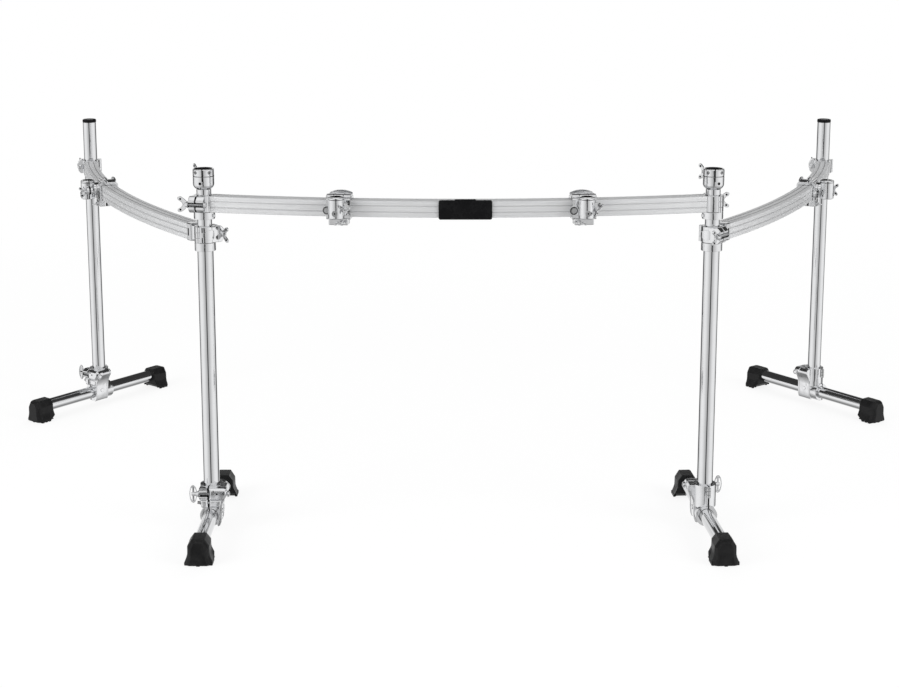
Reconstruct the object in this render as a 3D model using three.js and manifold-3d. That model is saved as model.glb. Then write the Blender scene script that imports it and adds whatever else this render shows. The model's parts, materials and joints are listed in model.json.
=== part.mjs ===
// Drum rack frame: a curved front rail and two curved side rails on four legs with T-feet.
// Millimetres, +Z up, +Y away from the audience, +X to the right as the audience sees it.
import * as THREE from 'three';
import { mergeVertices } from 'three/addons/utils/BufferGeometryUtils.js';
import Module from 'manifold-3d';

const wasm = await Module();
wasm.setup();

// Layout of the rack
const legSpacing = 1184;
const wingLegSpacing = 1140;
const wingFoldDegrees = 65;
const innerFootTurnDegrees = { left: 0, right: 3.5 };
const outerFootTurnDegrees = { left: 38, right: 37 };
const sideRailHeight = 722;
const frontRailRise = 73;

// Clearances
const seatGap = 0.3;
const fitGap = 0.35;
const slitWidth = 3;
const cutOverrun = 5;

// Rails
const railSide = 38.1;
const railWall = 2.6;
const railRadius = 2470;
const railCorner = 2;
const railGrooveWidth = 2.8;
const railGrooveDepth = 0.9;
const railGroovePitch = 14;
const frontRailSetback = 22;
const sideRailSetback = 34;

// Tubes
const tubeRadius = 19.05;
const tubeWall = 1.2;
const mastRadius = 17.45;
const mastWall = 1.5;
const mastInsert = 380;
const outerTubeRise = 130;
const collarRadius = 25;
const collarHeight = 20;
const ringHeight = 17.5;
const edgeBreak = 1.2;

// Caps of the outer tubes
const capHeight = 8;
const capLip = 0.5;
const capPlugDepth = 14;
const capRound = 2;

// Socket heads on the masts
const accessoryTube = 25.4;
const boreClearance = 0.6;
const headRadius = 25;
const mastShowing = 13.95;
const headTaper = 10;
const headBarrel = 38;
const headSlit = 2.6;
const headSlitFoot = 10;
const headScrewDrop = 12;
const headScrewDegrees = 127;

// Clamps at the rail ends
const clampWall = 7.6;
const clampBoltOffset = 31;
const clampBossLeft = 26;
const clampBossRight = 12;
const clampBossFront = 37;
const clampSlitOffset = 9;
const clampChannel = 10;
const clampChannelFloor = 25;
const clampNeckWidth = 28;
const clampFlange = 5;
const clampPlugLength = 24;
const clampPlugGap = 0.9;
const gateGroove = 2;

// T-feet
const footAxisHeight = 40;
const footTubeRadius = 17.45;
const footTubeLength = 480;
const footWall = 8;
const footSleeveHalf = 32;
const footClampTop = 112;
const legFloor = 65;
const footSlitOffset = 2.5;
const footBoltOffset = 34;
const footBoltHeight = 96;
const footEarFront = 43;
const footEarLeft = 26;
const footEarRight = 42;
const footEarHeight = 30;
const footEarNose = 10;

// Rubber boots
const bootLength = 56;
const bootNose = 12;
const bootHalfWidth = 32.5;
const bootFlare = 10;
const bootWaistHalf = 25.5;
const bootWaistHeight = 24;
const bootShoulder = 46;
const bootCrown = 62;
const bootCrownHalf = 14.5;
const bootHeelLift = 13;

// Bolts with wings
const boltRadius = 4;
const boltHeadRadius = 7;
const boltHead = 5;
const wingHubRadius = 7.5;
const wingHubLength = 10;
const footHubLength = 6;
const wingThickness = 4;
const wingSpan = 37;
const footWingSpan = 44;
const wingReach = 17;
const wingTip = 11;

// Clamps for accessories, which travel along the rails
const jawHalfLength = 28;
const jawWall = 5.5;
const jawCorner = 5;
const jawGap = 0.6;
const jawKnuckle = 6.5;
const jawLug = 13;
const jawSlitOffset = 4;
const swivelRadius = 17;
const swivelHeight = 4;
const swivelLift = 8;
const receiverWall = 5.5;
const receiverHeight = 50;
const receiverDisc = 5;
const earReach = 14;
const earHalfDepth = 8;
const earHeight = 26;
const frontClampLeft = 273;
const frontClampRight = 285;
const sideClampShare = 0.6;

// Name plate
const plateWidth = 122;
const plateHeight = 45;
const plateThickness = 3;
const plateCorner = 4;
const plateTabWidth = 50;
const plateTab = 2;
const plateOffset = 15;

// Facets
const roundSides = 20;
const boltSides = 10;
const railSteps = 18;
const cornerSteps = 3;

const toRadians = Math.PI / 180;
const quarterTurn = Math.PI / 2;
const halfTurn = Math.PI;

// Sizes that follow from the driving dimensions
const halfRail = railSide / 2;
const frontBow = bowOf(legSpacing);
const wingBow = bowOf(wingLegSpacing);
const frontRailHeight = sideRailHeight + frontRailRise;
const outerTubeTop = sideRailHeight + outerTubeRise;
const frontClampBottom = frontRailHeight - halfRail;
const sideClampBottom = sideRailHeight - halfRail;
const headNeck = frontRailHeight + halfRail + mastShowing;
const headShoulder = headNeck + headTaper;
const headTop = headShoulder + headBarrel;
const headSlitFloor = headShoulder + headSlitFoot;
const headScrewHeight = headTop - headScrewDrop;
const bootReach = footTubeLength / 2 + bootNose;
const tubeBore = tubeRadius - tubeWall;
const headBore = (accessoryTube + boreClearance) / 2;
const sideShareOfCircle = 1 / Math.cos(Math.PI / roundSides);

const chrome = new THREE.MeshStandardMaterial({ color: 0xd8dadc, roughness: 0.12, metalness: 1 });
const castChrome = new THREE.MeshStandardMaterial({ color: 0xc9cbce, roughness: 0.22, metalness: 1 });
const satinAluminium = new THREE.MeshStandardMaterial({ color: 0xc4c5c7, roughness: 0.42, metalness: 1 });
const blackRubber = new THREE.MeshStandardMaterial({ color: 0x141414, roughness: 0.75, metalness: 0 });
const blackPlastic = new THREE.MeshStandardMaterial({ color: 0x101010, roughness: 0.5, metalness: 0 });

// Arc of a rail between two legs: half the chord, the distance to its centre and the half angle
function bowOf(spacing) {
  const half = spacing / 2;
  return {
    half,
    centre: Math.sqrt(railRadius ** 2 - half ** 2),
    angle: Math.asin(half / railRadius),
  };
}

// Closed geometry to solid and back
function solidOf(geometry) {
  geometry.deleteAttribute('normal');
  geometry.deleteAttribute('uv');
  const welded = mergeVertices(geometry);
  const mesh = new wasm.Mesh({
    numProp: 3,
    vertProperties: welded.attributes.position.array,
    triVerts: new Uint32Array(welded.index.array),
  });
  return new wasm.Manifold(mesh);
}

function meshOf(name, solid, material) {
  const data = solid.getMesh();
  const geometry = new THREE.BufferGeometry();
  geometry.setAttribute('position', new THREE.BufferAttribute(data.vertProperties, 3));
  geometry.setIndex(new THREE.BufferAttribute(data.triVerts, 1));
  geometry.computeVertexNormals();
  const mesh = new THREE.Mesh(geometry, material);
  mesh.name = name;
  return mesh;
}

// Basic shapes
function rodZ(radius, low, high, sides = roundSides) {
  const geometry = new THREE.CylinderGeometry(radius, radius, high - low, sides);
  geometry.rotateX(quarterTurn);
  geometry.translate(0, 0, (low + high) / 2);
  return geometry;
}

function rodX(radius, low, high, y, z, sides = roundSides) {
  const geometry = rodZ(radius, low, high, sides);
  geometry.rotateY(quarterTurn);
  geometry.translate(0, y, z);
  return geometry;
}

function rodY(radius, low, high, x, z, sides = roundSides) {
  const geometry = rodZ(radius, low, high, sides);
  geometry.rotateX(-quarterTurn);
  geometry.translate(x, 0, z);
  return geometry;
}

function block(x, y, z) {
  const geometry = new THREE.BoxGeometry(x[1] - x[0], y[1] - y[0], z[1] - z[0]);
  geometry.translate((x[0] + x[1]) / 2, (y[0] + y[1]) / 2, (z[0] + z[1]) / 2);
  return geometry;
}

// Ring turned about Z from a closed outline of [radius, height], outside first and upwards
function turned(outline) {
  const points = [...outline, outline[0]].map(([radius, height]) => new THREE.Vector2(radius, height));
  const geometry = new THREE.LatheGeometry(points, roundSides);
  geometry.rotateX(quarterTurn);
  return geometry;
}

function outlineShape(points) {
  return new THREE.Shape(points.map(([x, y]) => new THREE.Vector2(x, y)));
}

function squareOutline(half) {
  return outlineShape([[-half, -half], [-half, half], [half, half], [half, -half]]);
}

// Flat plate of an outline in X and Z, from one Y to another
function plateY(shape, low, high) {
  const geometry = new THREE.ExtrudeGeometry(shape, {
    depth: high - low,
    bevelEnabled: false,
    curveSegments: cornerSteps,
  });
  geometry.rotateX(quarterTurn);
  geometry.translate(0, high, 0);
  return geometry;
}

function roundedOutline(halfWidth, halfHeight, corner) {
  const shape = new THREE.Shape();
  shape.moveTo(corner - halfWidth, -halfHeight);
  shape.lineTo(halfWidth - corner, -halfHeight);
  shape.absarc(halfWidth - corner, corner - halfHeight, corner, -quarterTurn, 0);
  shape.lineTo(halfWidth, halfHeight - corner);
  shape.absarc(halfWidth - corner, halfHeight - corner, corner, 0, quarterTurn);
  shape.lineTo(corner - halfWidth, halfHeight);
  shape.absarc(corner - halfWidth, halfHeight - corner, corner, quarterTurn, halfTurn);
  shape.lineTo(-halfWidth, corner - halfHeight);
  shape.absarc(corner - halfWidth, corner - halfHeight, corner, halfTurn, halfTurn + quarterTurn);
  return shape;
}

// Bore whose flats clear the corners of a round shaft by the gap
function boreFor(shaftRadius, gap = fitGap) {
  return (shaftRadius + gap) * sideShareOfCircle;
}

// Centreline of a rail, bowed towards -Y about an arc centre at the origin
class RailArc extends THREE.Curve {
  constructor(halfAngle) {
    super();
    this.halfAngle = halfAngle;
  }

  getPoint(share, target = new THREE.Vector3()) {
    const angle = this.halfAngle * (2 * share - 1);
    return target.set(railRadius * Math.sin(angle), -railRadius * Math.cos(angle), 0);
  }
}

// Extruded rail section: square, grooved on each face, hollow
function railSection() {
  const grooveHalf = railGrooveWidth / 2;
  const edge = halfRail - railCorner;
  const face = [[-edge, -halfRail]];
  for (const middle of [-railGroovePitch / 2, railGroovePitch / 2]) {
    face.push([middle - grooveHalf, -halfRail]);
    face.push([middle, railGrooveDepth - halfRail]);
    face.push([middle + grooveHalf, -halfRail]);
  }
  face.push([edge, -halfRail]);
  const points = [];
  for (let side = 0; side < 4; side += 1) {
    const cosine = Math.round(Math.cos(side * quarterTurn));
    const sine = Math.round(Math.sin(side * quarterTurn));
    for (const [x, y] of face) {
      points.push([x * cosine - y * sine, x * sine + y * cosine]);
    }
  }
  const shape = outlineShape(points);
  const hollow = halfRail - railWall;
  shape.holes.push(squareOutline(hollow));
  return shape;
}

function rail(name, bow, setback) {
  const halfAngle = bow.angle - setback / railRadius;
  const geometry = new THREE.ExtrudeGeometry(railSection(), {
    extrudePath: new RailArc(halfAngle),
    steps: railSteps,
    bevelEnabled: false,
  });
  return meshOf(name, solidOf(geometry), satinAluminium);
}

function namePlate() {
  const outline = roundedOutline(plateWidth / 2, plateHeight / 2, plateCorner);
  const plate = solidOf(plateY(outline, -plateThickness, 0));
  const tabHalf = plateTabWidth / 2;
  const tabTop = plateHeight / 2 + plateTab;
  const tab = outlineShape([
    [-tabHalf, 0],
    [tabHalf, 0],
    [tabHalf - plateTab, tabTop],
    [plateTab - tabHalf, tabTop],
  ]);
  const mesh = meshOf('name_plate', plate.add(solidOf(plateY(tab, -plateThickness, 0))), blackPlastic);
  const angle = plateOffset / railRadius;
  const reach = railRadius + halfRail + seatGap;
  mesh.position.set(reach * Math.sin(angle), -reach * Math.cos(angle), 0);
  mesh.rotation.z = angle;
  return mesh;
}

// Bolt along X with a round head on the right and a wing on the left
function wingBolt(name, bossLeft, bossRight, hubLength, span) {
  const headEnd = bossRight + seatGap + boltHead;
  const hubStart = -bossLeft - seatGap;
  const hubEnd = hubStart - hubLength;
  const tipEnd = hubEnd - wingReach + boltRadius;
  const half = span / 2;
  const wing = outlineShape([
    [hubEnd + boltRadius, -wingHubRadius],
    [hubEnd + boltRadius, wingHubRadius],
    [hubEnd - boltRadius, half],
    [tipEnd, half],
    [tipEnd - boltRadius, half - wingTip / 2],
    [tipEnd, half - wingTip],
    [hubEnd - boltRadius, boltRadius],
    [hubEnd - boltRadius, -boltRadius],
    [tipEnd, wingTip - half],
    [tipEnd - boltRadius, wingTip / 2 - half],
    [tipEnd, -half],
    [hubEnd - boltRadius, -half],
  ].reverse());
  const solid = solidOf(rodX(boltRadius, hubEnd, headEnd, 0, 0, boltSides))
    .add(solidOf(rodX(boltHeadRadius, bossRight + seatGap, headEnd, 0, 0, boltSides)))
    .add(solidOf(rodX(wingHubRadius, hubEnd, hubStart, 0, 0, boltSides)))
    .add(solidOf(plateY(wing, -wingThickness / 2, wingThickness / 2)));
  return meshOf(name, solid, castChrome);
}

// Clamp at a rail's end: its axis is the leg's, the rail leaves along +X, the swing bolt is at -Y
function endClamp(name, legRadius, setback) {
  const ring = legRadius + clampWall;
  const railFace = setback - seatGap;
  const neckHalf = clampNeckWidth / 2;
  const plugHalf = halfRail - railWall - clampPlugGap;
  const bore = boreFor(legRadius);
  const low = -halfRail;
  const high = halfRail;
  const over = [low - cutOverrun, high + cutOverrun];
  const body = solidOf(rodZ(ring, low, high))
    .add(solidOf(block([0, railFace], [-neckHalf, neckHalf], [low + edgeBreak, high - edgeBreak])))
    .add(solidOf(block([railFace - clampFlange, railFace], [-halfRail, halfRail], [low, high])))
    .add(solidOf(block([-clampBossLeft, clampBossRight], [-clampBossFront, 0], [low, high])));
  const plugReach = [railFace - clampFlange, railFace + clampPlugLength];
  const plug = solidOf(block(plugReach, [-plugHalf, plugHalf], [-plugHalf, plugHalf]));
  const past = solidOf(block([railFace, railFace + legRadius], [-ring, ring], over));
  const channel = solidOf(block(
    [-clampBossLeft - cutOverrun, clampBossRight + cutOverrun],
    [-clampBossFront - cutOverrun, -clampChannelFloor],
    [-clampChannel / 2, clampChannel / 2],
  ));
  const slitMiddle = -clampSlitOffset;
  const slit = solidOf(block(
    [slitMiddle - slitWidth / 2, slitMiddle + slitWidth / 2],
    [-clampBossFront - cutOverrun, 0],
    over,
  ));
  const groove = solidOf(block(
    [slitMiddle - slitWidth / 2, slitMiddle + slitWidth / 2],
    [Math.sqrt(ring ** 2 - slitMiddle ** 2) - gateGroove, ring + cutOverrun],
    over,
  ));
  const solid = body
    .subtract(past)
    .add(plug)
    .subtract(solidOf(rodZ(bore, over[0], over[1])))
    .subtract(channel)
    .subtract(slit)
    .subtract(groove);
  return meshOf(name, solid, castChrome);
}

function endClampPair(name, legRadius, setback) {
  const pair = new THREE.Group();
  pair.add(endClamp(`${name}_clamp`, legRadius, setback));
  const bolt = wingBolt(`${name}_clamp_wing_bolt`, clampBossLeft, clampBossRight, wingHubLength, wingSpan);
  bolt.position.set(0, -clampBoltOffset, 0);
  pair.add(bolt);
  return pair;
}

// Rail with a clamp on each end, centred between its two legs
function railSpan(names, bow, setback, leftRadius, rightRadius) {
  const span = new THREE.Group();
  const bar = rail(names.rail, bow, setback);
  bar.position.set(0, bow.centre, 0);
  const endAngle = bow.angle - setback / railRadius;
  const left = endClampPair(names.left, leftRadius, setback);
  left.position.set(-bow.half, 0, 0);
  left.rotation.z = -endAngle;
  const right = endClampPair(names.right, rightRadius, setback);
  right.position.set(bow.half, 0, 0);
  right.rotation.z = halfTurn + endAngle;
  span.add(bar, left, right);
  return span;
}

// Clamp that travels along a rail, and the swivelling receiver on its front
function jaw(name) {
  const inner = halfRail + jawGap;
  const outer = inner + jawWall;
  const ring = roundedOutline(outer, outer, jawCorner);
  ring.holes.push(squareOutline(inner));
  const tube = new THREE.ExtrudeGeometry(ring, {
    depth: 2 * jawHalfLength,
    bevelEnabled: false,
    curveSegments: cornerSteps,
  });
  tube.translate(0, 0, -jawHalfLength);
  tube.rotateY(quarterTurn);
  const knuckleHigh = inner + jawKnuckle;
  const knuckleBack = jawKnuckle - inner;
  const knuckle = rodX(jawKnuckle, -jawHalfLength, jawHalfLength, knuckleBack, knuckleHigh, boltSides);
  const lug = block(
    [-jawHalfLength + jawWall, jawHalfLength - jawWall],
    [-outer, jawSlitOffset + jawLug - inner],
    [-outer - jawLug, -inner - seatGap],
  );
  const slitMiddle = jawSlitOffset - inner / 2;
  const slit = block(
    [-jawHalfLength - cutOverrun, jawHalfLength + cutOverrun],
    [slitMiddle - slitWidth / 2, slitMiddle + slitWidth / 2],
    [-outer - jawLug - cutOverrun, -inner + cutOverrun],
  );
  const swivel = rodY(swivelRadius, -outer - swivelHeight, -inner - seatGap, 0, swivelLift);
  const solid = solidOf(tube)
    .add(solidOf(knuckle))
    .add(solidOf(lug))
    .add(solidOf(swivel))
    .subtract(solidOf(slit));
  return meshOf(name, solid, castChrome);
}

// Receiver about the axis of its swivel, which lies above the middle of the rail
function receiver(name) {
  const front = -(halfRail + jawGap + jawWall + swivelHeight + seatGap);
  const ring = headBore + receiverWall;
  const axis = front - receiverDisc / 2 - ring;
  const half = receiverHeight / 2;
  const barrel = rodZ(ring, -half, half);
  barrel.translate(0, axis, 0);
  const bore = rodZ(headBore * sideShareOfCircle, -half - cutOverrun, half + cutOverrun);
  bore.translate(0, axis, 0);
  const ears = block(
    [0, ring + earReach],
    [axis - earHalfDepth, axis + earHalfDepth],
    [-earHeight / 2, earHeight / 2],
  );
  const slit = block([0, ring + earReach + cutOverrun], [axis - slitWidth / 2, axis + slitWidth / 2], [
    -half - cutOverrun,
    half + cutOverrun,
  ]);
  const solid = solidOf(barrel)
    .add(solidOf(rodY(swivelRadius, axis, front, 0, 0)))
    .add(solidOf(ears))
    .subtract(solidOf(bore))
    .subtract(solidOf(slit));
  const mesh = meshOf(name, solid, castChrome);
  mesh.position.set(0, 0, swivelLift);
  return mesh;
}

function accessoryClamp(name, bow, angle) {
  const clamp = new THREE.Group();
  clamp.add(jaw(`${name}_jaw`), receiver(`${name}_receiver`));
  clamp.position.set(railRadius * Math.sin(angle), bow.centre - railRadius * Math.cos(angle), 0);
  clamp.rotation.z = angle;
  return clamp;
}

// Inner leg: lower tube with its slit collar, mast with the socket head, stop ring and wing screw
function lowerTube(name) {
  const top = sideClampBottom - seatGap;
  const bottom = legFloor + seatGap;
  const collarBottom = top - collarHeight;
  const solid = solidOf(turned([
    [tubeRadius, bottom],
    [tubeRadius, collarBottom],
    [collarRadius - edgeBreak, collarBottom],
    [collarRadius, collarBottom + edgeBreak],
    [collarRadius, top - edgeBreak],
    [collarRadius - edgeBreak, top],
    [tubeBore, top],
    [tubeBore, bottom],
  ]));
  const slit = block(
    [-slitWidth / 2, slitWidth / 2],
    [0, collarRadius + cutOverrun],
    [collarBottom - collarHeight, top + cutOverrun],
  );
  return meshOf(name, solid.subtract(solidOf(slit)), chrome);
}

function mast(name) {
  const bottom = sideClampBottom - mastInsert;
  const bore = headBore * sideShareOfCircle;
  const solid = solidOf(turned([
    [mastRadius, bottom],
    [mastRadius, headNeck],
    [headRadius - edgeBreak, headShoulder - edgeBreak],
    [headRadius, headShoulder + edgeBreak],
    [headRadius, headTop - edgeBreak],
    [headRadius - edgeBreak, headTop],
    [bore, headTop],
    [bore, headNeck],
    [mastRadius - mastWall, headNeck - mastWall],
    [mastRadius - mastWall, bottom],
  ]));
  const slit = block(
    [-headSlit / 2, headSlit / 2],
    [-headRadius - cutOverrun, 0],
    [headSlitFloor, headTop + cutOverrun],
  );
  const screwHole = rodX(boreFor(boltRadius), 0, headRadius + cutOverrun, 0, headScrewHeight, boltSides);
  screwHole.rotateZ(headScrewDegrees * toRadians);
  return meshOf(name, solid.subtract(solidOf(slit)).subtract(solidOf(screwHole)), castChrome);
}

function stopRing(name) {
  const top = frontClampBottom - seatGap;
  const bottom = top - ringHeight;
  const bore = boreFor(mastRadius, seatGap);
  const ring = turned([
    [collarRadius - edgeBreak, bottom],
    [collarRadius, bottom + edgeBreak],
    [collarRadius, top - edgeBreak],
    [collarRadius - edgeBreak, top],
    [bore, top],
    [bore, bottom],
  ]);
  const slit = block(
    [-slitWidth / 2, slitWidth / 2],
    [0, collarRadius + cutOverrun],
    [bottom - cutOverrun, top + cutOverrun],
  );
  return meshOf(name, solidOf(ring).subtract(solidOf(slit)), castChrome);
}

// Wing screw of the socket head, along +X from the bore outwards, turned to its place
function headScrew(name) {
  const tip = headBore * sideShareOfCircle + seatGap;
  const hubStart = headRadius + seatGap;
  const hubEnd = hubStart + wingHubLength;
  const tipEnd = hubEnd + wingReach / 2;
  const half = wingSpan / 2;
  const wing = outlineShape([
    [hubEnd - wingHubLength / 2, -boltRadius],
    [hubEnd, -half],
    [tipEnd, -half],
    [tipEnd + boltRadius, wingTip / 2 - half],
    [hubEnd + boltRadius, -boltRadius],
    [hubEnd + boltRadius, boltRadius],
    [tipEnd + boltRadius, half - wingTip / 2],
    [tipEnd, half],
    [hubEnd, half],
    [hubEnd - wingHubLength / 2, boltRadius],
  ]);
  const solid = solidOf(rodX(boltRadius, tip, hubEnd, 0, 0, boltSides))
    .add(solidOf(rodX(wingHubRadius, hubStart, hubEnd, 0, 0, boltSides)))
    .add(solidOf(plateY(wing, -wingThickness / 2, wingThickness / 2)));
  const mesh = meshOf(name, solid, castChrome);
  mesh.position.set(0, 0, headScrewHeight);
  mesh.rotation.z = headScrewDegrees * toRadians;
  return mesh;
}

// Outer leg: one long tube with a plastic cap
function outerTube(name) {
  const bottom = legFloor + seatGap;
  const tube = turned([
    [tubeRadius, bottom],
    [tubeRadius, outerTubeTop],
    [tubeBore, outerTubeTop],
    [tubeBore, bottom],
  ]);
  return meshOf(name, solidOf(tube), chrome);
}

function tubeCap(name) {
  const seat = outerTubeTop + seatGap;
  const top = seat + capHeight;
  const plug = tubeBore - fitGap;
  const cap = turned([
    [plug, outerTubeTop - capPlugDepth],
    [plug, seat],
    [tubeRadius + capLip, seat],
    [tubeRadius + capLip, top - capRound],
    [tubeRadius - capRound, top],
    [0, top],
    [0, outerTubeTop - capPlugDepth],
  ]);
  return meshOf(name, solidOf(cap), blackPlastic);
}

// T-foot: split clamp on the leg and on the foot tube, wing bolt at -X in front, two boots
function footClampSolid() {
  const socket = tubeRadius + fitGap + footWall;
  const sleeve = footTubeRadius + fitGap + footWall;
  const earBottom = footBoltHeight - footEarHeight / 2;
  const earTop = footBoltHeight + footEarHeight / 2;
  const ears = outlineShape([
    [-footEarLeft, earBottom],
    [footEarRight - footEarNose, earBottom],
    [footEarRight, footBoltHeight],
    [footEarRight, earTop],
    [-footEarLeft, earTop],
  ]);
  const waist = block(
    [-footTubeRadius, footTubeRadius],
    [-tubeRadius, tubeRadius],
    [footAxisHeight, legFloor + footWall],
  );
  const over = footSleeveHalf + cutOverrun;
  return solidOf(rodZ(socket, legFloor - footWall, footClampTop))
    .add(solidOf(rodY(sleeve, -footSleeveHalf, footSleeveHalf, 0, footAxisHeight)))
    .add(solidOf(waist))
    .add(solidOf(plateY(ears, -footEarFront, 0)))
    .subtract(solidOf(rodZ(boreFor(tubeRadius), legFloor, footClampTop + cutOverrun)))
    .subtract(solidOf(rodY(boreFor(footTubeRadius), -over, over, 0, footAxisHeight)))
    .subtract(solidOf(rodX(
      boreFor(boltRadius),
      -footEarLeft - cutOverrun,
      footEarRight + cutOverrun,
      -footBoltOffset,
      footBoltHeight,
      boltSides,
    )));
}

function footClampHalves(name) {
  const whole = footClampSolid();
  const reach = footEarFront + cutOverrun;
  const heights = [0, footClampTop + cutOverrun];
  const mainSide = solidOf(block([-footSlitOffset, reach], [-reach, reach], heights));
  const gateSide = solidOf(block([-reach, -footSlitOffset - slitWidth], [-reach, reach], heights));
  return [
    meshOf(`${name}_clamp`, whole.intersect(mainSide), castChrome),
    meshOf(`${name}_clamp_gate`, whole.intersect(gateSide), castChrome),
  ];
}

function footTube(name) {
  const half = footTubeLength / 2;
  const bore = footTubeRadius - tubeWall;
  const geometry = turned([
    [footTubeRadius, -half],
    [footTubeRadius, half],
    [bore, half],
    [bore, -half],
  ]);
  geometry.rotateX(-quarterTurn);
  geometry.translate(0, 0, footAxisHeight);
  return meshOf(name, solidOf(geometry), chrome);
}

// Outline of a boot's section, from the sole on the right over the crown to the sole on the left
function bootOutline() {
  const rightSide = [
    [bootHalfWidth - edgeBreak, 0],
    [bootHalfWidth, edgeBreak],
    [bootHalfWidth, bootFlare],
    [bootWaistHalf, bootWaistHeight],
    [bootWaistHalf, bootShoulder],
    [bootCrownHalf, bootCrown],
  ];
  const leftSide = rightSide.map(([x, z]) => [-x, z]).reverse();
  return [...rightSide, ...leftSide];
}

// Boot along +Y from its heel, which leans over the tube, to its blunt toe
function bootGeometry() {
  const lengthShares = [0, 0.3, 0.62, 0.9, 1];
  const widthShares = [0.93, 1, 1, 0.97, 0.9];
  const heightShares = [1, 1, 1, 0.92, 0.76];
  const liftShares = [1, 0, 0, 0, 0];
  const outline = bootOutline();
  const count = outline.length;
  const positions = [];
  const index = [];
  lengthShares.forEach((lengthShare, station) => {
    const lift = bootHeelLift * liftShares[station];
    for (const [x, z] of outline) {
      const height = lift + z * heightShares[station] * (1 - lift / bootCrown);
      positions.push(x * widthShares[station], lengthShare * bootLength, height);
    }
  });
  for (let station = 0; station + 1 < lengthShares.length; station += 1) {
    for (let corner = 0; corner < count; corner += 1) {
      const here = station * count + corner;
      const next = station * count + ((corner + 1) % count);
      index.push(here, next + count, next, here, here + count, next + count);
    }
  }
  const heelMiddle = positions.length / 3;
  positions.push(0, 0, footAxisHeight);
  const toeMiddle = heelMiddle + 1;
  positions.push(0, bootLength, bootWaistHeight);
  const toe = (lengthShares.length - 1) * count;
  for (let corner = 0; corner < count; corner += 1) {
    const next = (corner + 1) % count;
    index.push(heelMiddle, corner, next);
    index.push(toeMiddle, toe + next, toe + corner);
  }
  const geometry = new THREE.BufferGeometry();
  geometry.setAttribute('position', new THREE.Float32BufferAttribute(positions, 3));
  geometry.setIndex(index);
  return geometry;
}

function boot(name) {
  const heel = bootReach - bootLength;
  const tubeEnd = footTubeLength / 2 - heel + seatGap;
  const hole = rodY(boreFor(footTubeRadius, seatGap), -cutOverrun, tubeEnd, 0, footAxisHeight);
  const mesh = meshOf(name, solidOf(bootGeometry()).subtract(solidOf(hole)), blackRubber);
  mesh.position.set(0, heel, 0);
  return mesh;
}

function foot(name, boltEnd, farEnd) {
  const group = new THREE.Group();
  const near = new THREE.Group();
  near.add(boot(`${name}_boot_${boltEnd}`));
  near.rotation.z = halfTurn;
  const bolt = wingBolt(`${name}_wing_bolt`, footEarLeft, footEarRight, footHubLength, footWingSpan);
  bolt.position.set(0, -footBoltOffset, footBoltHeight);
  group.add(...footClampHalves(name), footTube(`${name}_tube`), bolt, near, boot(`${name}_boot_${farEnd}`));
  return group;
}

// The bolt is at the front of the left feet and at the rear of the right feet
function standingFoot(name, side) {
  return side === 'left' ? foot(name, 'front', 'rear') : foot(name, 'rear', 'front');
}

// The whole rack
function innerLeg(side) {
  const leg = new THREE.Group();
  leg.add(
    lowerTube(`inner_leg_${side}`),
    mast(`mast_${side}`),
    stopRing(`stop_ring_${side}`),
    headScrew(`mast_wing_screw_${side}`),
  );
  const stand = standingFoot(`inner_foot_${side}`, side);
  const turn = innerFootTurnDegrees[side] * toRadians;
  stand.rotation.z = side === 'left' ? -turn : halfTurn + turn;
  leg.add(stand);
  return leg;
}

function outerLeg(side) {
  const leg = new THREE.Group();
  leg.add(outerTube(`outer_leg_${side}`), tubeCap(`outer_leg_cap_${side}`));
  const stand = standingFoot(`outer_foot_${side}`, side);
  const turn = outerFootTurnDegrees[side] * toRadians;
  stand.rotation.z = side === 'left' ? -turn : halfTurn + turn;
  leg.add(stand);
  return leg;
}

function sideWing(side) {
  const direction = side === 'left' ? -1 : 1;
  const ends = side === 'left' ? ['outer', 'inner'] : ['inner', 'outer'];
  const radii = { inner: mastRadius, outer: tubeRadius };
  const names = {
    rail: `side_rail_${side}`,
    left: `side_rail_${side}_${ends[0]}`,
    right: `side_rail_${side}_${ends[1]}`,
  };
  const span = railSpan(names, wingBow, sideRailSetback, radii[ends[0]], radii[ends[1]]);
  const clampAngle = direction * wingBow.angle * (2 * sideClampShare - 1);
  span.add(accessoryClamp(`side_clamp_${side}`, wingBow, clampAngle));
  span.position.set(direction * wingBow.half, 0, sideRailHeight);
  const outer = outerLeg(side);
  outer.position.set(direction * wingLegSpacing, 0, 0);
  const wing = new THREE.Group();
  wing.add(span, outer);
  wing.position.set(direction * frontBow.half, 0, 0);
  wing.rotation.z = direction * wingFoldDegrees * toRadians;
  outer.rotation.z = -wing.rotation.z;
  return wing;
}

function drumRack() {
  const rack = new THREE.Group();
  const names = { rail: 'front_rail', left: 'front_rail_left', right: 'front_rail_right' };
  const front = railSpan(names, frontBow, frontRailSetback, mastRadius, mastRadius);
  const plate = new THREE.Group();
  plate.add(namePlate());
  plate.position.set(0, frontBow.centre, 0);
  front.add(plate);
  front.add(accessoryClamp('front_clamp_left', frontBow, -frontClampLeft / railRadius));
  front.add(accessoryClamp('front_clamp_right', frontBow, frontClampRight / railRadius));
  front.position.set(0, 0, frontRailHeight);
  rack.add(front);
  for (const side of ['left', 'right']) {
    const leg = innerLeg(side);
    leg.position.set(side === 'left' ? -frontBow.half : frontBow.half, 0, 0);
    rack.add(leg, sideWing(side));
  }
  return rack;
}

const group = drumRack();
const extent = new THREE.Box3().setFromObject(group, true);
group.position.set(-(extent.min.x + extent.max.x) / 2, -(extent.min.y + extent.max.y) / 2, -extent.min.z);
group.updateMatrixWorld(true);

export default group;
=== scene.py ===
# Drum rack frame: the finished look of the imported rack. Metres, +Z up, +Y away from the audience.
# The pieces are drawn in millimetres in the same local places as the solids, then set on the rack.
import json
from math import acos, asin, atan2, cos, degrees, pi, radians, sin, sqrt, tau

import bmesh
import bpy
from mathutils import Matrix, Vector


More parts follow.
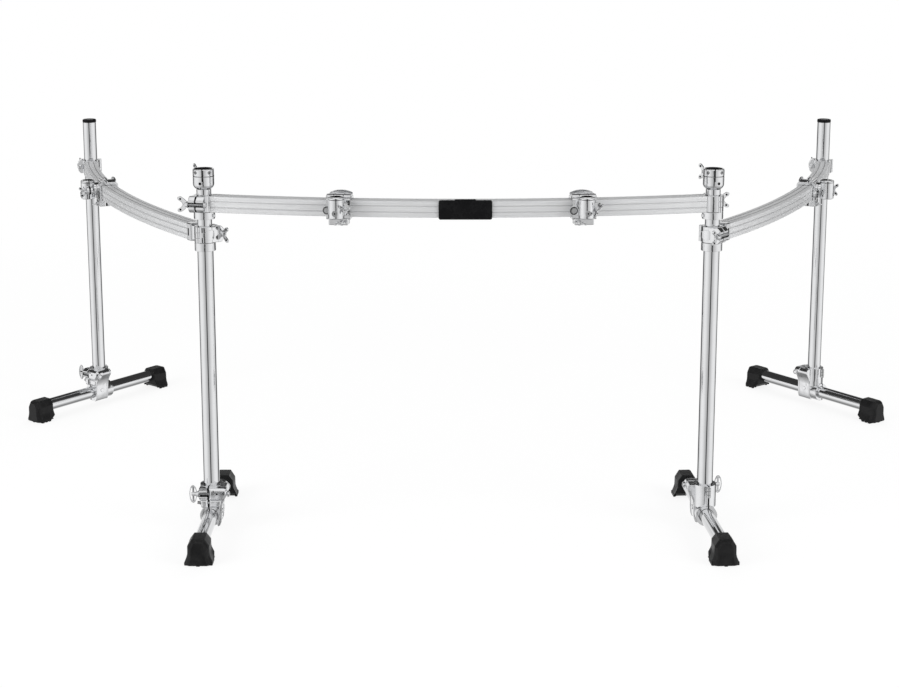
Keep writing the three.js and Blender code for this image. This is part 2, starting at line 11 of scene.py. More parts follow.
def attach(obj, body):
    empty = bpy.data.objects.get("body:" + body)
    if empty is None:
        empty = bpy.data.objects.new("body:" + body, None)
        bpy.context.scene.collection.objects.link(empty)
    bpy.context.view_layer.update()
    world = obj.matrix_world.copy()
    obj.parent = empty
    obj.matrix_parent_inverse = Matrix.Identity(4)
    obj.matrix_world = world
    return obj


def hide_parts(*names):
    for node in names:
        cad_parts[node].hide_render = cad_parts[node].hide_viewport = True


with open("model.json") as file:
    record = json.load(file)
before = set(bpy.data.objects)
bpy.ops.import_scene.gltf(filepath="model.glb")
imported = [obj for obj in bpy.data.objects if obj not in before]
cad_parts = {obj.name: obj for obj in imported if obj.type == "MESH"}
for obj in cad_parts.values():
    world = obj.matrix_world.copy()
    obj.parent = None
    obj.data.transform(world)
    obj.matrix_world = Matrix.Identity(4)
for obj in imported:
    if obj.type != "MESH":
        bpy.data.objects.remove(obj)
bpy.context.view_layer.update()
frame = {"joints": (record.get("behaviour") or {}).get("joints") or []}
joints = {joint["name"]: joint for joint in frame["joints"]}

MM = 0.001
ROUND = 96
SMALL_ROUND = 32

# Sizes of the rack in millimetres. Tubes and bores are given by their radius.
RAIL_HALF = 19.05
RAIL_WALL = 2.6
RAIL_BEND = 2470
RAIL_GROOVES = (-7, 7)
RAIL_STEPS = 72
FRONT_HALF_SPAN = 592
SIDE_HALF_SPAN = 570
FRONT_SETBACK = 22
SIDE_SETBACK = 34
FOLD = radians(65)
FRONT_HEIGHT = 795
SIDE_HEIGHT = 722
TUBE = 19.05
TUBE_BORE = 17.85
TUBE_BOTTOM = 65.3
OUTER_TUBE_TOP = 852
MAST = 17.45
MAST_BORE = 16
MAST_INSIDE = 380
HEAD_RADIUS = 25
HEAD_TOP = 876
COLLAR_RADIUS = 25
FOOT_TUBE = 17.45
FOOT_TUBE_BORE = 16.25
FOOT_TUBE_HALF = 240
FOOT_HEIGHT = 40
FOOT_SLIT = (-5.5, -2.5)
BOOT_START = 196
BOOT_HEIGHT = 62
BUSH_BORE = 12.75
RECEIVER_LIFT = 8
SEAT = 0.3

# Wing bolts: where they sit, how far they reach to -X and +X, and the span and reach of the nut
CLAMP_BOLT = {"spot": (0, -31, 0), "ends": (26, 12)}
FRONT_WING = (37, 26)
SIDE_WING = (36, 25.5)
FOOT_BOLT = {"spot": (0, -34, 96), "ends": (26, 42), "wing": (44, 23), "oval": True}
HEAD_WING = (37, 21.3, 4.0)


# -------------------------------- shapes
def soften(bm, width, segments=3, sharpness=28):
    """Rounds every edge that is sharper than an angle."""
    limit = radians(sharpness)
    sharp = [e for e in bm.edges if len(e.link_faces) == 2 and e.calc_face_angle(0) > limit]
    bmesh.ops.bevel(
        bm, geom=sharp, offset=width, offset_type="OFFSET", segments=segments, profile=0.5,
        affect="EDGES", clamp_overlap=True, material=-1,
    )
    return bm


def moved(bm, x=0, y=0, z=0):
    bmesh.ops.translate(bm, verts=bm.verts, vec=(x, y, z))
    return bm


def turned(bm, angle, axis):
    matrix = Matrix.Rotation(radians(angle), 3, axis)
    bmesh.ops.rotate(bm, verts=bm.verts, cent=(0, 0, 0), matrix=matrix)
    return bm


# What was drawn upwards along Z points along +X, -X or -Y, and is then moved to a spot
def to_right(bm, x=0, y=0, z=0):
    return moved(turned(bm, 90, "Y"), x, y, z)


def to_left(bm, x=0, y=0, z=0):
    return moved(turned(bm, -90, "Y"), x, y, z)


def to_front(bm, x=0, y=0, z=0):
    return moved(turned(bm, 90, "X"), x, y, z)


def closed(bm):
    """Fills what is still open and turns the faces outwards."""
    bmesh.ops.holes_fill(bm, edges=[e for e in bm.edges if e.is_boundary], sides=0)
    bmesh.ops.recalc_face_normals(bm, faces=bm.faces)
    return bm


def spin(bm, geometry, angle, steps, merge):
    bmesh.ops.spin(
        bm, geom=geometry, cent=(0, 0, 0), axis=(0, 0, 1), dvec=(0, 0, 0), angle=angle, steps=steps,
        use_merge=merge, use_duplicate=False,
    )


def spun(outline, steps=ROUND, start=0, turn=360):
    """Outline of radius and height, spun about Z. One that starts on the axis also ends there."""
    bm = bmesh.new()
    verts = [bm.verts.new((radius, 0, height)) for radius, height in outline]
    edges = [bm.edges.new(pair) for pair in zip(verts, verts[1:])]
    if outline[0][0] > 0:
        edges.append(bm.edges.new((verts[-1], verts[0])))
    turned(bm, start, "Z")
    spin(bm, verts + edges, radians(turn), steps, turn >= 360)
    bmesh.ops.remove_doubles(bm, verts=bm.verts, dist=0.0005)
    return closed(bm)


def tube(inner, outer, low, high, start=0, turn=360):
    """Round wall about Z with flat ends."""
    return spun([(inner, low), (outer, low), (outer, high), (inner, high)], ROUND, start, turn)


def ring(inner, outer, low, high, edge, start=0, turn=360):
    return soften(tube(inner, outer, low, high, start, turn), edge, 2, 50)


def slab(outline, low, high, along="Z"):
    """Prism of a flat outline, from low to high along one axis."""
    bm = bmesh.new()
    corners = [{"X": (low, a, b), "Y": (a, low, b), "Z": (a, b, low)}[along] for a, b in outline]
    face = bm.faces.new([bm.verts.new(corner) for corner in corners])
    pulled = bmesh.ops.extrude_face_region(bm, geom=[face])
    far = [item for item in pulled["geom"] if isinstance(item, bmesh.types.BMVert)]
    reach = Vector((along == "X", along == "Y", along == "Z")) * (high - low)
    bmesh.ops.translate(bm, verts=far, vec=reach)
    return closed(bm)


def soft_slab(outline, low, high, along, edge, segments=2, sharpness=28):
    return soften(slab(outline, low, high, along), edge, segments, sharpness)


def box(x, y, z):
    return slab([(x[0], y[0]), (x[1], y[0]), (x[1], y[1]), (x[0], y[1])], *z)


def soft_box(x, y, z, edge, segments=2):
    return soften(box(x, y, z), edge, segments)


def rod(radius, low, high, tip=None, sides=SMALL_ROUND):
    """Round bar along Z, with another radius at its high end if tip is given."""
    bm = bmesh.new()
    middle = Matrix.Translation((0, 0, (low + high) / 2))
    bmesh.ops.create_cone(
        bm, cap_ends=True, segments=sides, radius1=radius, radius2=radius if tip is None else tip,
        depth=high - low, matrix=middle,
    )
    return bm


def soft_rod(radius, low, high, edge, segments=2, tip=None, sides=SMALL_ROUND):
    return soften(rod(radius, low, high, tip, sides), edge, segments)


def stepped(bm, inset, push):
    """Insets the front face of a block along Y, and pushes what is inside it along Y."""
    face = min(bm.faces, key=lambda f: f.calc_center_median().y)
    bmesh.ops.inset_region(bm, faces=[face], thickness=inset, depth=0, use_even_offset=True)
    bmesh.ops.translate(bm, verts=face.verts, vec=(0, push, 0))
    return bm


def cut_off(bm, point, outwards):
    """Cuts everything past a plane away and closes the cut."""
    whole = bm.verts[:] + bm.edges[:] + bm.faces[:]
    bmesh.ops.bisect_plane(bm, geom=whole, plane_co=point, plane_no=outwards, clear_outer=True)
    return closed(bm)


def arc(x, y, radius, start, end, steps):
    """Points of an arc in a flat outline, in degrees."""
    angles = [radians(start + (end - start) * step / steps) for step in range(steps + 1)]
    return [(x + radius * cos(a), y + radius * sin(a)) for a in angles]


def rounded(half_width, half_height, corner, steps=5):
    """Rectangle with round corners as a flat outline."""
    across, up = half_width - corner, half_height - corner
    points = []
    corners = ((across, -up), (across, up), (-across, up), (-across, -up))
    for start, (x, y) in zip((-90, 0, 90, 180), corners):
        points += arc(x, y, corner, start, start + 90, steps)
    return points


# -------------------------------- pieces
def standing(point, height=0, turn=0):
    """Place on the rack above a point of the floor plan, at a height in millimetres."""
    return Matrix.Translation((point.x, point.y, height * MM)) @ Matrix.Rotation(turn, 4, "Z")


def mesh_of(name, bm):
    mesh = bpy.data.meshes.new(name)
    bm.to_mesh(mesh)
    bm.free()
    return mesh


def shown(name, data):
    made = bpy.data.objects.new(name, data)
    bpy.context.scene.collection.objects.link(made)
    return made


def piece(name, ending, parts, look, body, place, crease=34):
    """One object, set on the rack and riding on a body. The ending _look means it shows a node."""
    finish, slot = look
    bm = bmesh.new()
    for part in parts:
        mesh = mesh_of("part", part)
        bm.from_mesh(mesh)
        bpy.data.meshes.remove(mesh)
    bm.transform(place @ Matrix.Scale(MM, 4))
    for face in bm.faces:
        face.smooth = True
    limit = radians(crease)
    for edge in bm.edges:
        edge.smooth = len(edge.link_faces) == 2 and edge.calc_face_angle(0) < limit
    made = shown(name + ending, mesh_of(name + ending, bm))
    made.data.materials.append(finish)
    normals = made.modifiers.new("Flat faces stay flat", "WEIGHTED_NORMAL")
    normals.keep_sharp = True
    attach(made, body)
    if ending == "_look":
        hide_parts(name)


# -------------------------------- shader tools
def feed(tree, made, inputs):
    """Fills inputs, by name or number, with fixed values or outputs of other nodes."""
    for key, value in inputs.items():
        if isinstance(value, bpy.types.NodeSocket):
            tree.links.new(value, made.inputs[key])
        else:
            made.inputs[key].default_value = value


def node(tree, kind, inputs=(), **settings):
    made = tree.nodes.new(kind)
    for key, value in settings.items():
        setattr(made, key, value)
    feed(tree, made, dict(inputs))
    return made


def new_group(name, inputs, outputs):
    """Node group of plain numbers. The inputs come with their defaults."""
    tree = bpy.data.node_groups.new(name, "ShaderNodeTree")
    kind = "NodeSocketFloat"
    for label, value in inputs.items():
        socket = tree.interface.new_socket(name=label, in_out="INPUT", socket_type=kind)
        socket.default_value = value
    for label in outputs:
        tree.interface.new_socket(name=label, in_out="OUTPUT", socket_type=kind)
    return tree, node(tree, "NodeGroupInput").outputs, node(tree, "NodeGroupOutput")


def group_node(tree, group, **values):
    inputs = {label.replace("_", " "): value for label, value in values.items()}
    return node(tree, "ShaderNodeGroup", inputs, node_tree=group)


def calculated(tree, operation, *values, clamp=False):
    made = node(tree, "ShaderNodeMath", enumerate(values), operation=operation, use_clamp=clamp)
    return made.outputs[0]


def plus(tree, first, second, clamp=False):
    return calculated(tree, "ADD", first, second, clamp=clamp)


def times(tree, first, second):
    return calculated(tree, "MULTIPLY", first, second)


def mapped(tree, value, low, high, new_low, new_high):
    inputs = {
        "Value": value, "From Min": low, "From Max": high, "To Min": new_low, "To Max": new_high,
    }
    return node(tree, "ShaderNodeMapRange", inputs).outputs["Result"]


def noise(tree, vector, scale, detail, roughness):
    inputs = {"Vector": vector, "Scale": scale, "Detail": detail, "Roughness": roughness}
    return node(tree, "ShaderNodeTexNoise", inputs).outputs["Fac"]


def blended(tree, share, first, second):
    """Colour between two, by a share from 0 to 1. Each is a colour or an output."""
    inputs = {"Factor": share}
    for number, value in ((6, first), (7, second)):
        inputs[number] = (*value, 1) if isinstance(value, tuple) else value
    return node(tree, "ShaderNodeMix", inputs, data_type="RGBA").outputs[2]


def mixed(tree, share, first, second):
    return node(tree, "ShaderNodeMixShader", {0: share, 1: first, 2: second}).outputs[0]


def bump(tree, height, strength, distance):
    inputs = {"Strength": strength, "Distance": distance, "Height": height}
    return node(tree, "ShaderNodeBump", inputs).outputs["Normal"]


def object_place(tree):
    return node(tree, "ShaderNodeTexCoord").outputs["Object"]


def handling_group():
    """Smears from hands and cloths, fine scuffs and dust that settles on what faces up."""
    tree, given, out = new_group(
        "Handling wear", {"Smear scale": 14, "Scuff scale": 240}, ("Smears", "Scuffs", "Dust"),
    )
    place = object_place(tree)
    smears = noise(tree, place, given["Smear scale"], 6, 0.6)
    stretch = {"Scale": (1, 0.22, 1.7), "Rotation": (0.35, 0.2, 0.6), "Vector": place}
    stretched = node(tree, "ShaderNodeMapping", stretch).outputs["Vector"]
    scuffs = noise(tree, stretched, given["Scuff scale"], 3, 0.5)
    normal = node(tree, "ShaderNodeNewGeometry").outputs["Normal"]
    facing = node(tree, "ShaderNodeSeparateXYZ", {0: normal})
    upwards = mapped(tree, facing.outputs["Z"], 0.55, 1, 0, 1)
    feed(tree, out, {
        "Smears": mapped(tree, smears, 0.42, 0.68, 0, 1),
        "Scuffs": mapped(tree, scuffs, 0.6, 0.72, 0, 1),
        "Dust": times(tree, upwards, noise(tree, place, 60, 5, 0.65)),
    })
    return tree


def grain_group():
    """Fine surface relief as a height: cast skin or moulded grain over a slow waviness."""
    tree, given, out = new_group(
        "Fine relief", {"Grain scale": 900, "Wave scale": 60, "Wave share": 0.5}, ("Height",),
    )
    place = object_place(tree)
    grain = noise(tree, place, given["Grain scale"], 2, 0.5)
    wave = noise(tree, place, given["Wave scale"], 0.4, 0.4)
    feed(tree, out, {"Height": plus(tree, grain, times(tree, wave, given["Wave share"]))})
    return tree


handling = handling_group()
relief = grain_group()


def new_finish(name):
    made = bpy.data.materials.new(name)
    made.use_nodes = True
    tree = made.node_tree
    return made, tree, tree.nodes["Principled BSDF"]


def skin_relief(tree, skin, strength):
    """Skin: scale of the grain, scale and share of the waviness, height of both in metres."""
    grain, wave, share, height = skin
    made = group_node(tree, relief, Grain_scale=grain, Wave_scale=wave, Wave_share=share)
    return bump(tree, made.outputs["Height"], strength, height)


# Each look is a material with the slot that it fills. Its gloss is given for clean and smeared.
def metal_look(name, slot, colour, dull_colour, gloss, skin, strength=0.35):
    """Plated metal: smears change its gloss, scuffs and dust its tone."""
    made, tree, shader = new_finish(name)
    wear = group_node(tree, handling, Smear_scale=16, Scuff_scale=260).outputs
    marks = times(tree, wear["Scuffs"], 0.45)
    tone = plus(tree, times(tree, wear["Smears"], 0.5), marks, True)
    haze = times(tree, wear["Dust"], 0.1)
    rough = plus(tree, mapped(tree, wear["Smears"], 0, 1, *gloss), haze)
    feed(tree, shader, {
        "Metallic": 1, "Base Color": blended(tree, tone, colour, dull_colour),
        "Roughness": plus(tree, rough, times(tree, marks, 0.12)),
        "Normal": skin_relief(tree, skin, strength),
    })
    return made, slot


def black_look(name, slot, colour, worn_colour, gloss, skin, specular=0.2, coat=0):
    """Moulded black rubber or plastic: fine grain, paler scuffs and a little dust."""
    made, tree, shader = new_finish(name)
    wear = group_node(tree, handling, Smear_scale=30, Scuff_scale=420).outputs
    dusty = times(tree, wear["Dust"], 0.3)
    tone = plus(tree, times(tree, wear["Scuffs"], 0.6), dusty)
    tone = plus(tree, tone, times(tree, wear["Smears"], 0.25), True)
    rough = mapped(tree, wear["Smears"], 0, 1, *gloss)
    feed(tree, shader, {
        "Base Color": blended(tree, tone, colour, worn_colour),
        "Roughness": plus(tree, rough, times(tree, dusty, 0.2)),
        "Specular IOR Level": specular, "Coat Weight": coat, "Coat Roughness": 0.3,
        "Normal": skin_relief(tree, skin, 0.5),
    })
    return made, slot


def aluminium_look():
    """Satin aluminium with the fine die lines of an extrusion, which run along the bend, and
    painted shade in its grooves.
    """
    made, tree, shader = new_finish("Satin aluminium rail")
    section = node(tree, "ShaderNodeAttribute", attribute_name="section").outputs["Vector"]
    pulled = {"Scale": (0.012, 1, 1), "Vector": section}
    lines = node(tree, "ShaderNodeMapping", pulled).outputs["Vector"]
    coarse = noise(tree, lines, 420, 3, 0.6)
    fine = noise(tree, lines, 2200, 2, 0.6)
    wear = group_node(tree, handling, Smear_scale=9, Scuff_scale=180).outputs
    coarse_tone = mapped(tree, coarse, 0.35, 0.7, 0, 0.55)
    tone = plus(tree, coarse_tone, mapped(tree, fine, 0.4, 0.7, 0, 0.3))
    tone = plus(tree, tone, times(tree, wear["Smears"], 0.2), True)
    clean = blended(tree, tone, (0.73, 0.735, 0.74), (0.56, 0.565, 0.575))
    # Painted shade: the bottoms of the grooves are blended towards dark grey, by the attribute that
    # the rail writes
    painted_groove_shade = node(tree, "ShaderNodeAttribute", attribute_name="painted_groove_shade").outputs["Fac"]
    groove_shade_share = mapped(tree, painted_groove_shade, 0, 1, 0, 0.56)
    rough = mapped(tree, tone, 0, 1, 0.36, 0.48)
    feed(tree, shader, {
        "Metallic": 0.45, "Specular IOR Level": 0.6,
        "Base Color": blended(tree, groove_shade_share, clean, (0.16, 0.16, 0.165)),
        "Roughness": plus(tree, rough, times(tree, wear["Dust"], 0.06)),
        "Normal": bump(tree, plus(tree, coarse, times(tree, fine, 0.5)), 0.5, 0.00006),
    })
    return made, "aluminium"


rail_look = aluminium_look()
tube_look = metal_look(
    "Chromed tube", "chrome_tube", (0.79, 0.795, 0.805), (0.73, 0.735, 0.745), (0.035, 0.065),
    (700, 45, 0.3, 0.00001), 0.2,
)
cast_look = metal_look(
    "Chromed casting", "chrome_casting", (0.82, 0.825, 0.835), (0.7, 0.705, 0.715), (0.06, 0.14),
    (620, 58, 9, 0.00012), 0.6,
)
steel_look = metal_look(
    "Plated bolt steel", "chrome_casting", (0.56, 0.565, 0.57), (0.4, 0.4, 0.405), (0.2, 0.32),
    (1100, 300, 0.4, 0.00008),
)
boot_look = black_look(
    "Boot rubber", "rubber", (0.006, 0.006, 0.0063), (0.03, 0.03, 0.03), (0.34, 0.5),
    (760, 90, 1.2, 0.00022),
)
cap_look = black_look(
    "Cap plastic", "black_plastic", (0.004, 0.004, 0.0045), (0.02, 0.02, 0.021), (0.3, 0.44),
    (1300, 120, 0.5, 0.00007), 0.12,
)
bush_look = black_look(
    "Nylon bush", "black_plastic", (0.005, 0.005, 0.0055), (0.02, 0.02, 0.021), (0.42, 0.54),
    (900, 80, 0.6, 0.00008),
)
plate_look = black_look(
    "Plate enamel", "black_plastic", (0.004, 0.004, 0.0045), (0.016, 0.016, 0.0165), (0.24, 0.36),
    (1500, 40, 1, 0.00004), 0.15, 0.1,
)
# Black pieces set into slits, gaps, channels, holes and sockets: painted shade where these would
# lie in shadow
painted_shade_look = black_look(
    "Painted recess shade", "black_plastic", (0.002, 0.002, 0.002), (0.008, 0.008, 0.008), (0.7, 0.85),
    (900, 90, 0.4, 0.00005), 0.02,
)


# -------------------------------- rails
def rail_outline():
    """Square with small round corners and two shallow grooves on each face."""
    corner, groove_half, groove_deep, floor_half = 2.2, 1.4, 0.95, 0.45
    chamfer_out, chamfer_in = 0.3, 0.25
    edge = RAIL_HALF - corner
    face = []
    for middle in RAIL_GROOVES:
        half_groove = [
            (groove_half + chamfer_out, -RAIL_HALF), (groove_half, chamfer_in - RAIL_HALF),
            (floor_half, groove_deep - RAIL_HALF),
        ]
        face += [(middle - a, b) for a, b in half_groove]
        face += [(middle + a, b) for a, b in reversed(half_groove)]
    face += arc(edge, -edge, corner, -90, 0, 5)
    outline = []
    for cosine, sine in ((1, 0), (0, 1), (-1, 0), (0, -1)):
        outline += [(a * cosine - b * sine, a * sine + b * cosine) for a, b in face]
    return outline


def rail(body, centre, height, middle, half_angle):
    """Bent rail: its section spun about the bend's centre, hollow, with closed ends."""
    bm = bmesh.new()
    inner = RAIL_HALF - RAIL_WALL
    bore = [(-inner, -inner), (-inner, inner), (inner, inner), (inner, -inner)]
    section = []
    for outline in (rail_outline(), bore):
        verts = [bm.verts.new((RAIL_BEND + a, 0, b)) for a, b in outline]
        section += verts
        section += [bm.edges.new((verts[i - 1], verts[i])) for i in range(len(verts))]
    first_end = Matrix.Rotation(middle - half_angle, 3, "Z")
    bmesh.ops.rotate(bm, verts=bm.verts, cent=(0, 0, 0), matrix=first_end)
    spin(bm, section, 2 * half_angle, RAIL_STEPS, False)
    open_edges = [e for e in bm.edges if e.is_boundary]
    for side in (-1, 1):
        angle = middle + side * half_angle
        outwards = Vector((cos(angle), sin(angle), 0))
        along = Vector((-sin(angle), cos(angle), 0))
        rim = [
            e for e in open_edges
            if all(abs(v.co.dot(along)) < 0.01 and v.co.dot(outwards) > 0 for v in e.verts)
        ]
        bmesh.ops.bridge_loops(bm, edges=rim)
    closed(bm)
    # The finish reads the place in the section, and how much painted shade lies at the bottom of a
    # groove
    layer = bm.verts.layers.float_vector.new("section")
    depth = bm.verts.layers.float.new("painted_groove_shade")
    for v in bm.verts:
        angle = atan2(v.co.y, v.co.x)
        off = v.co.xy.length - RAIL_BEND
        v[layer] = Vector(((angle - middle) * RAIL_BEND, off, v.co.z)) * MM
        below = RAIL_HALF - max(abs(off), abs(v.co.z))
        near = min(abs(abs(off) - RAIL_GROOVES[1]), abs(abs(v.co.z) - RAIL_GROOVES[1]))
        # The grooves of the top and bottom faces get more painted shade than those of the sides
        level = 1.0 if abs(v.co.z) > abs(off) else 0.42
        v[depth] = level if near < 1.5 and 0.1 < below < 1.2 else 0.0
    piece(body, "_look", [bm], rail_look, body, standing(centre, height), 30)


# -------------------------------- small hardware
def small_parts(name, hardware, shade_pieces, body, place):
    """The plated bolts and pins of a piece, and the black pieces that paint the shade in its gaps
    and holes.
    """
    piece(name, "_hardware", hardware, steel_look, body, place)
    piece(name, "_recess_shade", shade_pieces, painted_shade_look, body, place)


def thread(radius, low, high):
    """Threaded bar along Z: the crests are rings, as they look at this size."""
    pitch = 1.25
    outline = [(0, low), (radius - 0.6, low)]
    height = low + pitch / 2
    while height + pitch < high:
        outline += [(radius - 0.7, height), (radius, height + pitch / 2)]
        height += pitch
    return spun(outline + [(radius - 0.6, high), (0, high)], 20)


def key_head():
    """Round flange under the square head that a drum key turns. It is drawn upwards."""
    return [soft_rod(5.2, 0, 1.6, 0.4), soft_box((-3, 3), (-3, 3), (1.4, 7.5), 0.5)]


def dome_head(radius, low, high):
    rise = high - low
    outline = [(0, low), (radius, low), (radius, low + rise * 0.45)]
    for a in (0.35, 0.75, 1.15):
        outline.append((radius * cos(a), low + rise * (0.45 + 0.55 * sin(a))))
    return spun(outline + [(0, high)], SMALL_ROUND)


def butterfly(span, reach, thick=4.2, hub=7.2, hub_length=9):
    """Wing nut drawn upwards: washer, tapered hub and two rounded lobes along X."""
    half = span / 2
    lobe = [
        (0.22, 0.1), (0.42, 0.16), (0.66, 0.34), (0.84, 0.52), (0.97, 0.68), (1, 0.82),
        (0.94, 0.94), (0.82, 1), (0.66, 0.985), (0.52, 0.9), (0.42, 0.76), (0.3, 0.62),
        (0.16, 0.56), (0, 0.54), (0, 0.12),
    ]
    parts = [soft_rod(hub + 1.2, 0, 1.5, 0.35), soft_rod(hub, 1.5, hub_length, 1.2, 3, hub * 0.78)]
    for side in (1, -1):
        outline = [(side * a * half, b * reach + 1.2) for a, b in lobe]
        blade = slab(outline, -thick / 2, thick / 2, "Y")
        flats = [f for f in blade.faces if len(f.verts) > 4]
        bmesh.ops.inset_individual(
            blade, faces=flats, thickness=0.09 * half, depth=0, use_even_offset=True,
        )
        for flat in flats:
            sink = -0.7 if flat.calc_center_median().y > 0 else 0.7
            bmesh.ops.translate(blade, verts=flat.verts, vec=(0, sink, 0))
        parts.append(soften(blade, 1.0, 3))
    return parts


def hole_shade_discs(span, reach, thick=4.2):
    """Dark discs in the lobes of a butterfly, drawn in the same place: painted shade standing in
    for holes through them.
    """
    half, deep = span / 2, thick / 2 - 0.2
    return [
        to_front(rod(0.13 * half, -deep, deep, sides=20), side * 0.68 * half, 0, 0.72 * reach + 1.2)
        for side in (-1, 1)
    ]


def loop_wing(span, reach, thick=4.8):
    """Wing nut of the T-feet, drawn upwards: one oval loop across a tapered hub."""
    half, middle = span / 2, reach * 0.6
    rim = bmesh.new()
    bmesh.ops.create_circle(rim, cap_ends=False, segments=14, radius=thick / 2)
    to_front(rim, half - thick / 2)
    spin(rim, rim.verts[:] + rim.edges[:], tau, 48, True)
    turned(closed(rim), 90, "X")
    for v in rim.verts:
        v.co.z *= (reach - middle) / half
    bar = soft_box((thick - half, half - thick), (-1.6, 1.6), (-2.6, 2.6), 0.8)
    hub = [soft_rod(7.2, 1.5, 7, 1.0, 3, 5.6), soft_rod(5.4, 6, middle + 4, 1.0, 3, 4.2)]
    return [moved(rim, 0, 0, middle), moved(bar, 0, 0, middle), soft_rod(8.4, 0, 1.5, 0.35), *hub]


def wing_nut(name, place, size, tilt, spot):
    """Butterfly nut of an accessory clamp, which points to the front."""
    looks = (
        ("_wing_nut", butterfly(*size, 5.8, 6.8), cast_look),
        # The dark discs in the lobes are painted shade for holes
        ("_wing_hole_shade", hole_shade_discs(*size), painted_shade_look),
    )
    for ending, parts, look in looks:
        parts = [to_front(turned(part, tilt, "Z"), *spot) for part in parts]
        piece(name, ending, parts, look, name, place)


def wing_bolt(name, place, spot, ends, wing, oval=False):
    """Swing bolt along X: wing nut at -X, threaded bar, round head with a washer at +X."""
    place = place @ Matrix.Translation([value * MM for value in spot])
    left, right = ends
    nut = loop_wing(*wing) if oval else butterfly(*wing)
    parts = [to_left(part, -left - SEAT) for part in nut]
    head = (soft_rod(8, 0, 1.4, 0.3), dome_head(6.6, 1.4, 5))
    parts += [to_right(part, right + SEAT) for part in head]
    # The dark discs in the butterfly's lobes are painted shade for holes
    if not oval:
        hole_shade = [to_left(part, -left - SEAT) for part in hole_shade_discs(*wing)]
        piece(name, "_hole_shade", hole_shade, painted_shade_look, name, place)
    bar = to_right(thread(4, -left - 2, right + 1))
    piece(name, "_bar", [bar], steel_look, name, place)
    piece(name, "_look", parts, cast_look, name, place)


# -------------------------------- clamps at the rail ends
def lug(x, y, z, channel, floor):
    """Ear with a channel across its front, in which the swing bolt lies."""
    taper = 0.42
    half = channel / 2
    middle = (z[0] + z[1]) / 2
    cut_y, cut_z = y[0] + (y[1] - y[0]) * taper, (z[1] - z[0]) * 0.5 * taper
    outline = [
        (y[1], z[0]), (y[1], z[1]), (cut_y, z[1]), (y[0], z[1] - cut_z), (y[0], middle + half),
        (floor, middle + half), (floor, middle - half), (y[0], middle - half), (y[0], z[0] + cut_z),
        (cut_y, z[0]),
    ]
    return soft_slab(outline, *x, "X", 1.6, 3)


def almond(radius):
    """Raised almond-shaped pad on the far side of a clamp ring."""
    pad = ring(radius - 1, radius + 2.4, -12, 12, 0.5, 134, 92)
    for v in pad.verts:
        v.co.z *= max(0.12, cos(1.9 * atan2(v.co.y, -v.co.x)))
    return pad


def end_clamp(name, body, place, leg_radius, setback):
    """Casting about a leg: the rail's end at +X, the bolt's lugs in front, the hinge behind."""
    long_neck = setback == SIDE_SETBACK
    bore, outer = leg_radius + 0.4, leg_radius + 7.6
    face = setback - SEAT
    high = RAIL_HALF
    back = -max(19.0, leg_radius + 1.2)
    shell = ring(bore, outer, -high, high, 1.3, -111, 351)
    if face < outer:
        cut_off(shell, (face - 0.05, 0, 0), (1, 0, 0))
    start = max(face - 5.5, bore + 0.25)
    parts = [shell, soft_slab(rounded(high, high, 2.2), start, face, "X", 0.8)]
    if long_neck:
        hollow = arc(19.5, 27, 11, 205, 322, 9)
        hollow += [(x, -y) for x, y in reversed(hollow)]
        neck = cut_off(slab(hollow, -16.6, 16.6), (bore + 0.4, 0, 0), (-1, 0, 0))
        parts.append(soften(neck, 1.2, 2, 40))
    parts += [lug(x, (-37, back), (-high, high), 10, -25) for x in ((-26, -10.5), (-7.5, 12))]
    shoulder = [
        (-25.6, -4), (-25.6, -26), (-10.9, -26), (-10.9, back), (-16.8, back + 4.4), (-20.6, -9),
    ]
    parts.append(soft_slab(shoulder, 0.3 - high, high - 0.3, "Z", 1.6, 3))
    hinge_x = -9
    hinge_y = sqrt((outer + 0.4) ** 2 - hinge_x ** 2)
    for low, top in ((-high, -6.9), (-6.2, 6.2), (6.9, high)):
        parts.append(moved(soft_rod(4.8, low, top, 0.7), hinge_x, hinge_y))
    parts.append(moved(soft_rod(2.2, -high - 0.15, high + 0.15, 0.1, 1), hinge_x, hinge_y))
    if long_neck:
        strap = [(z, y) for y, z in rounded(20.8, 20.8, 2.6)]
        sleeve = cut_off(slab(strap, face - 1.6, 50, "X"), (49.9, 0, 0), (1, 0, 0))
        parts += [soften(sleeve, 1.0, 2), almond(outer)]
    piece(name, "_look", parts, cast_look, body, place)
    # Painted shade: black strips in the slit between the lugs, on the floors of the bolt channel,
    # in the ring's split and in the long neck's two slots
    slit = ((back - 1, 5.2), (-33.5, 5.2), (-33.5, 13.6), (-29.8, 18.0), (back - 1, 18.2))
    shade_pieces = [slab([(y, side * z) for y, z in slit], -10.4, -7.6, "X") for side in (-1, 1)]
    shade_pieces += [box(x, (-25.5, -24.9), (-4.9, 4.9)) for x in ((-25.2, -10.6), (-7.4, 11.4))]
    for z in ((-17.6, -5.8), (5.8, 17.6)):
        shade_pieces.append(turned(box((-1.2, 1.2), (outer - 0.6, outer + 0.15), z), 45, "Z"))
    if long_neck:
        shade_pieces += [box((40.1, 44.9), (y - 0.25, y + 0.25), (-9, 9)) for y in (-20.75, 20.75)]
    piece(name, "_recess_shade", shade_pieces, painted_shade_look, body, place)


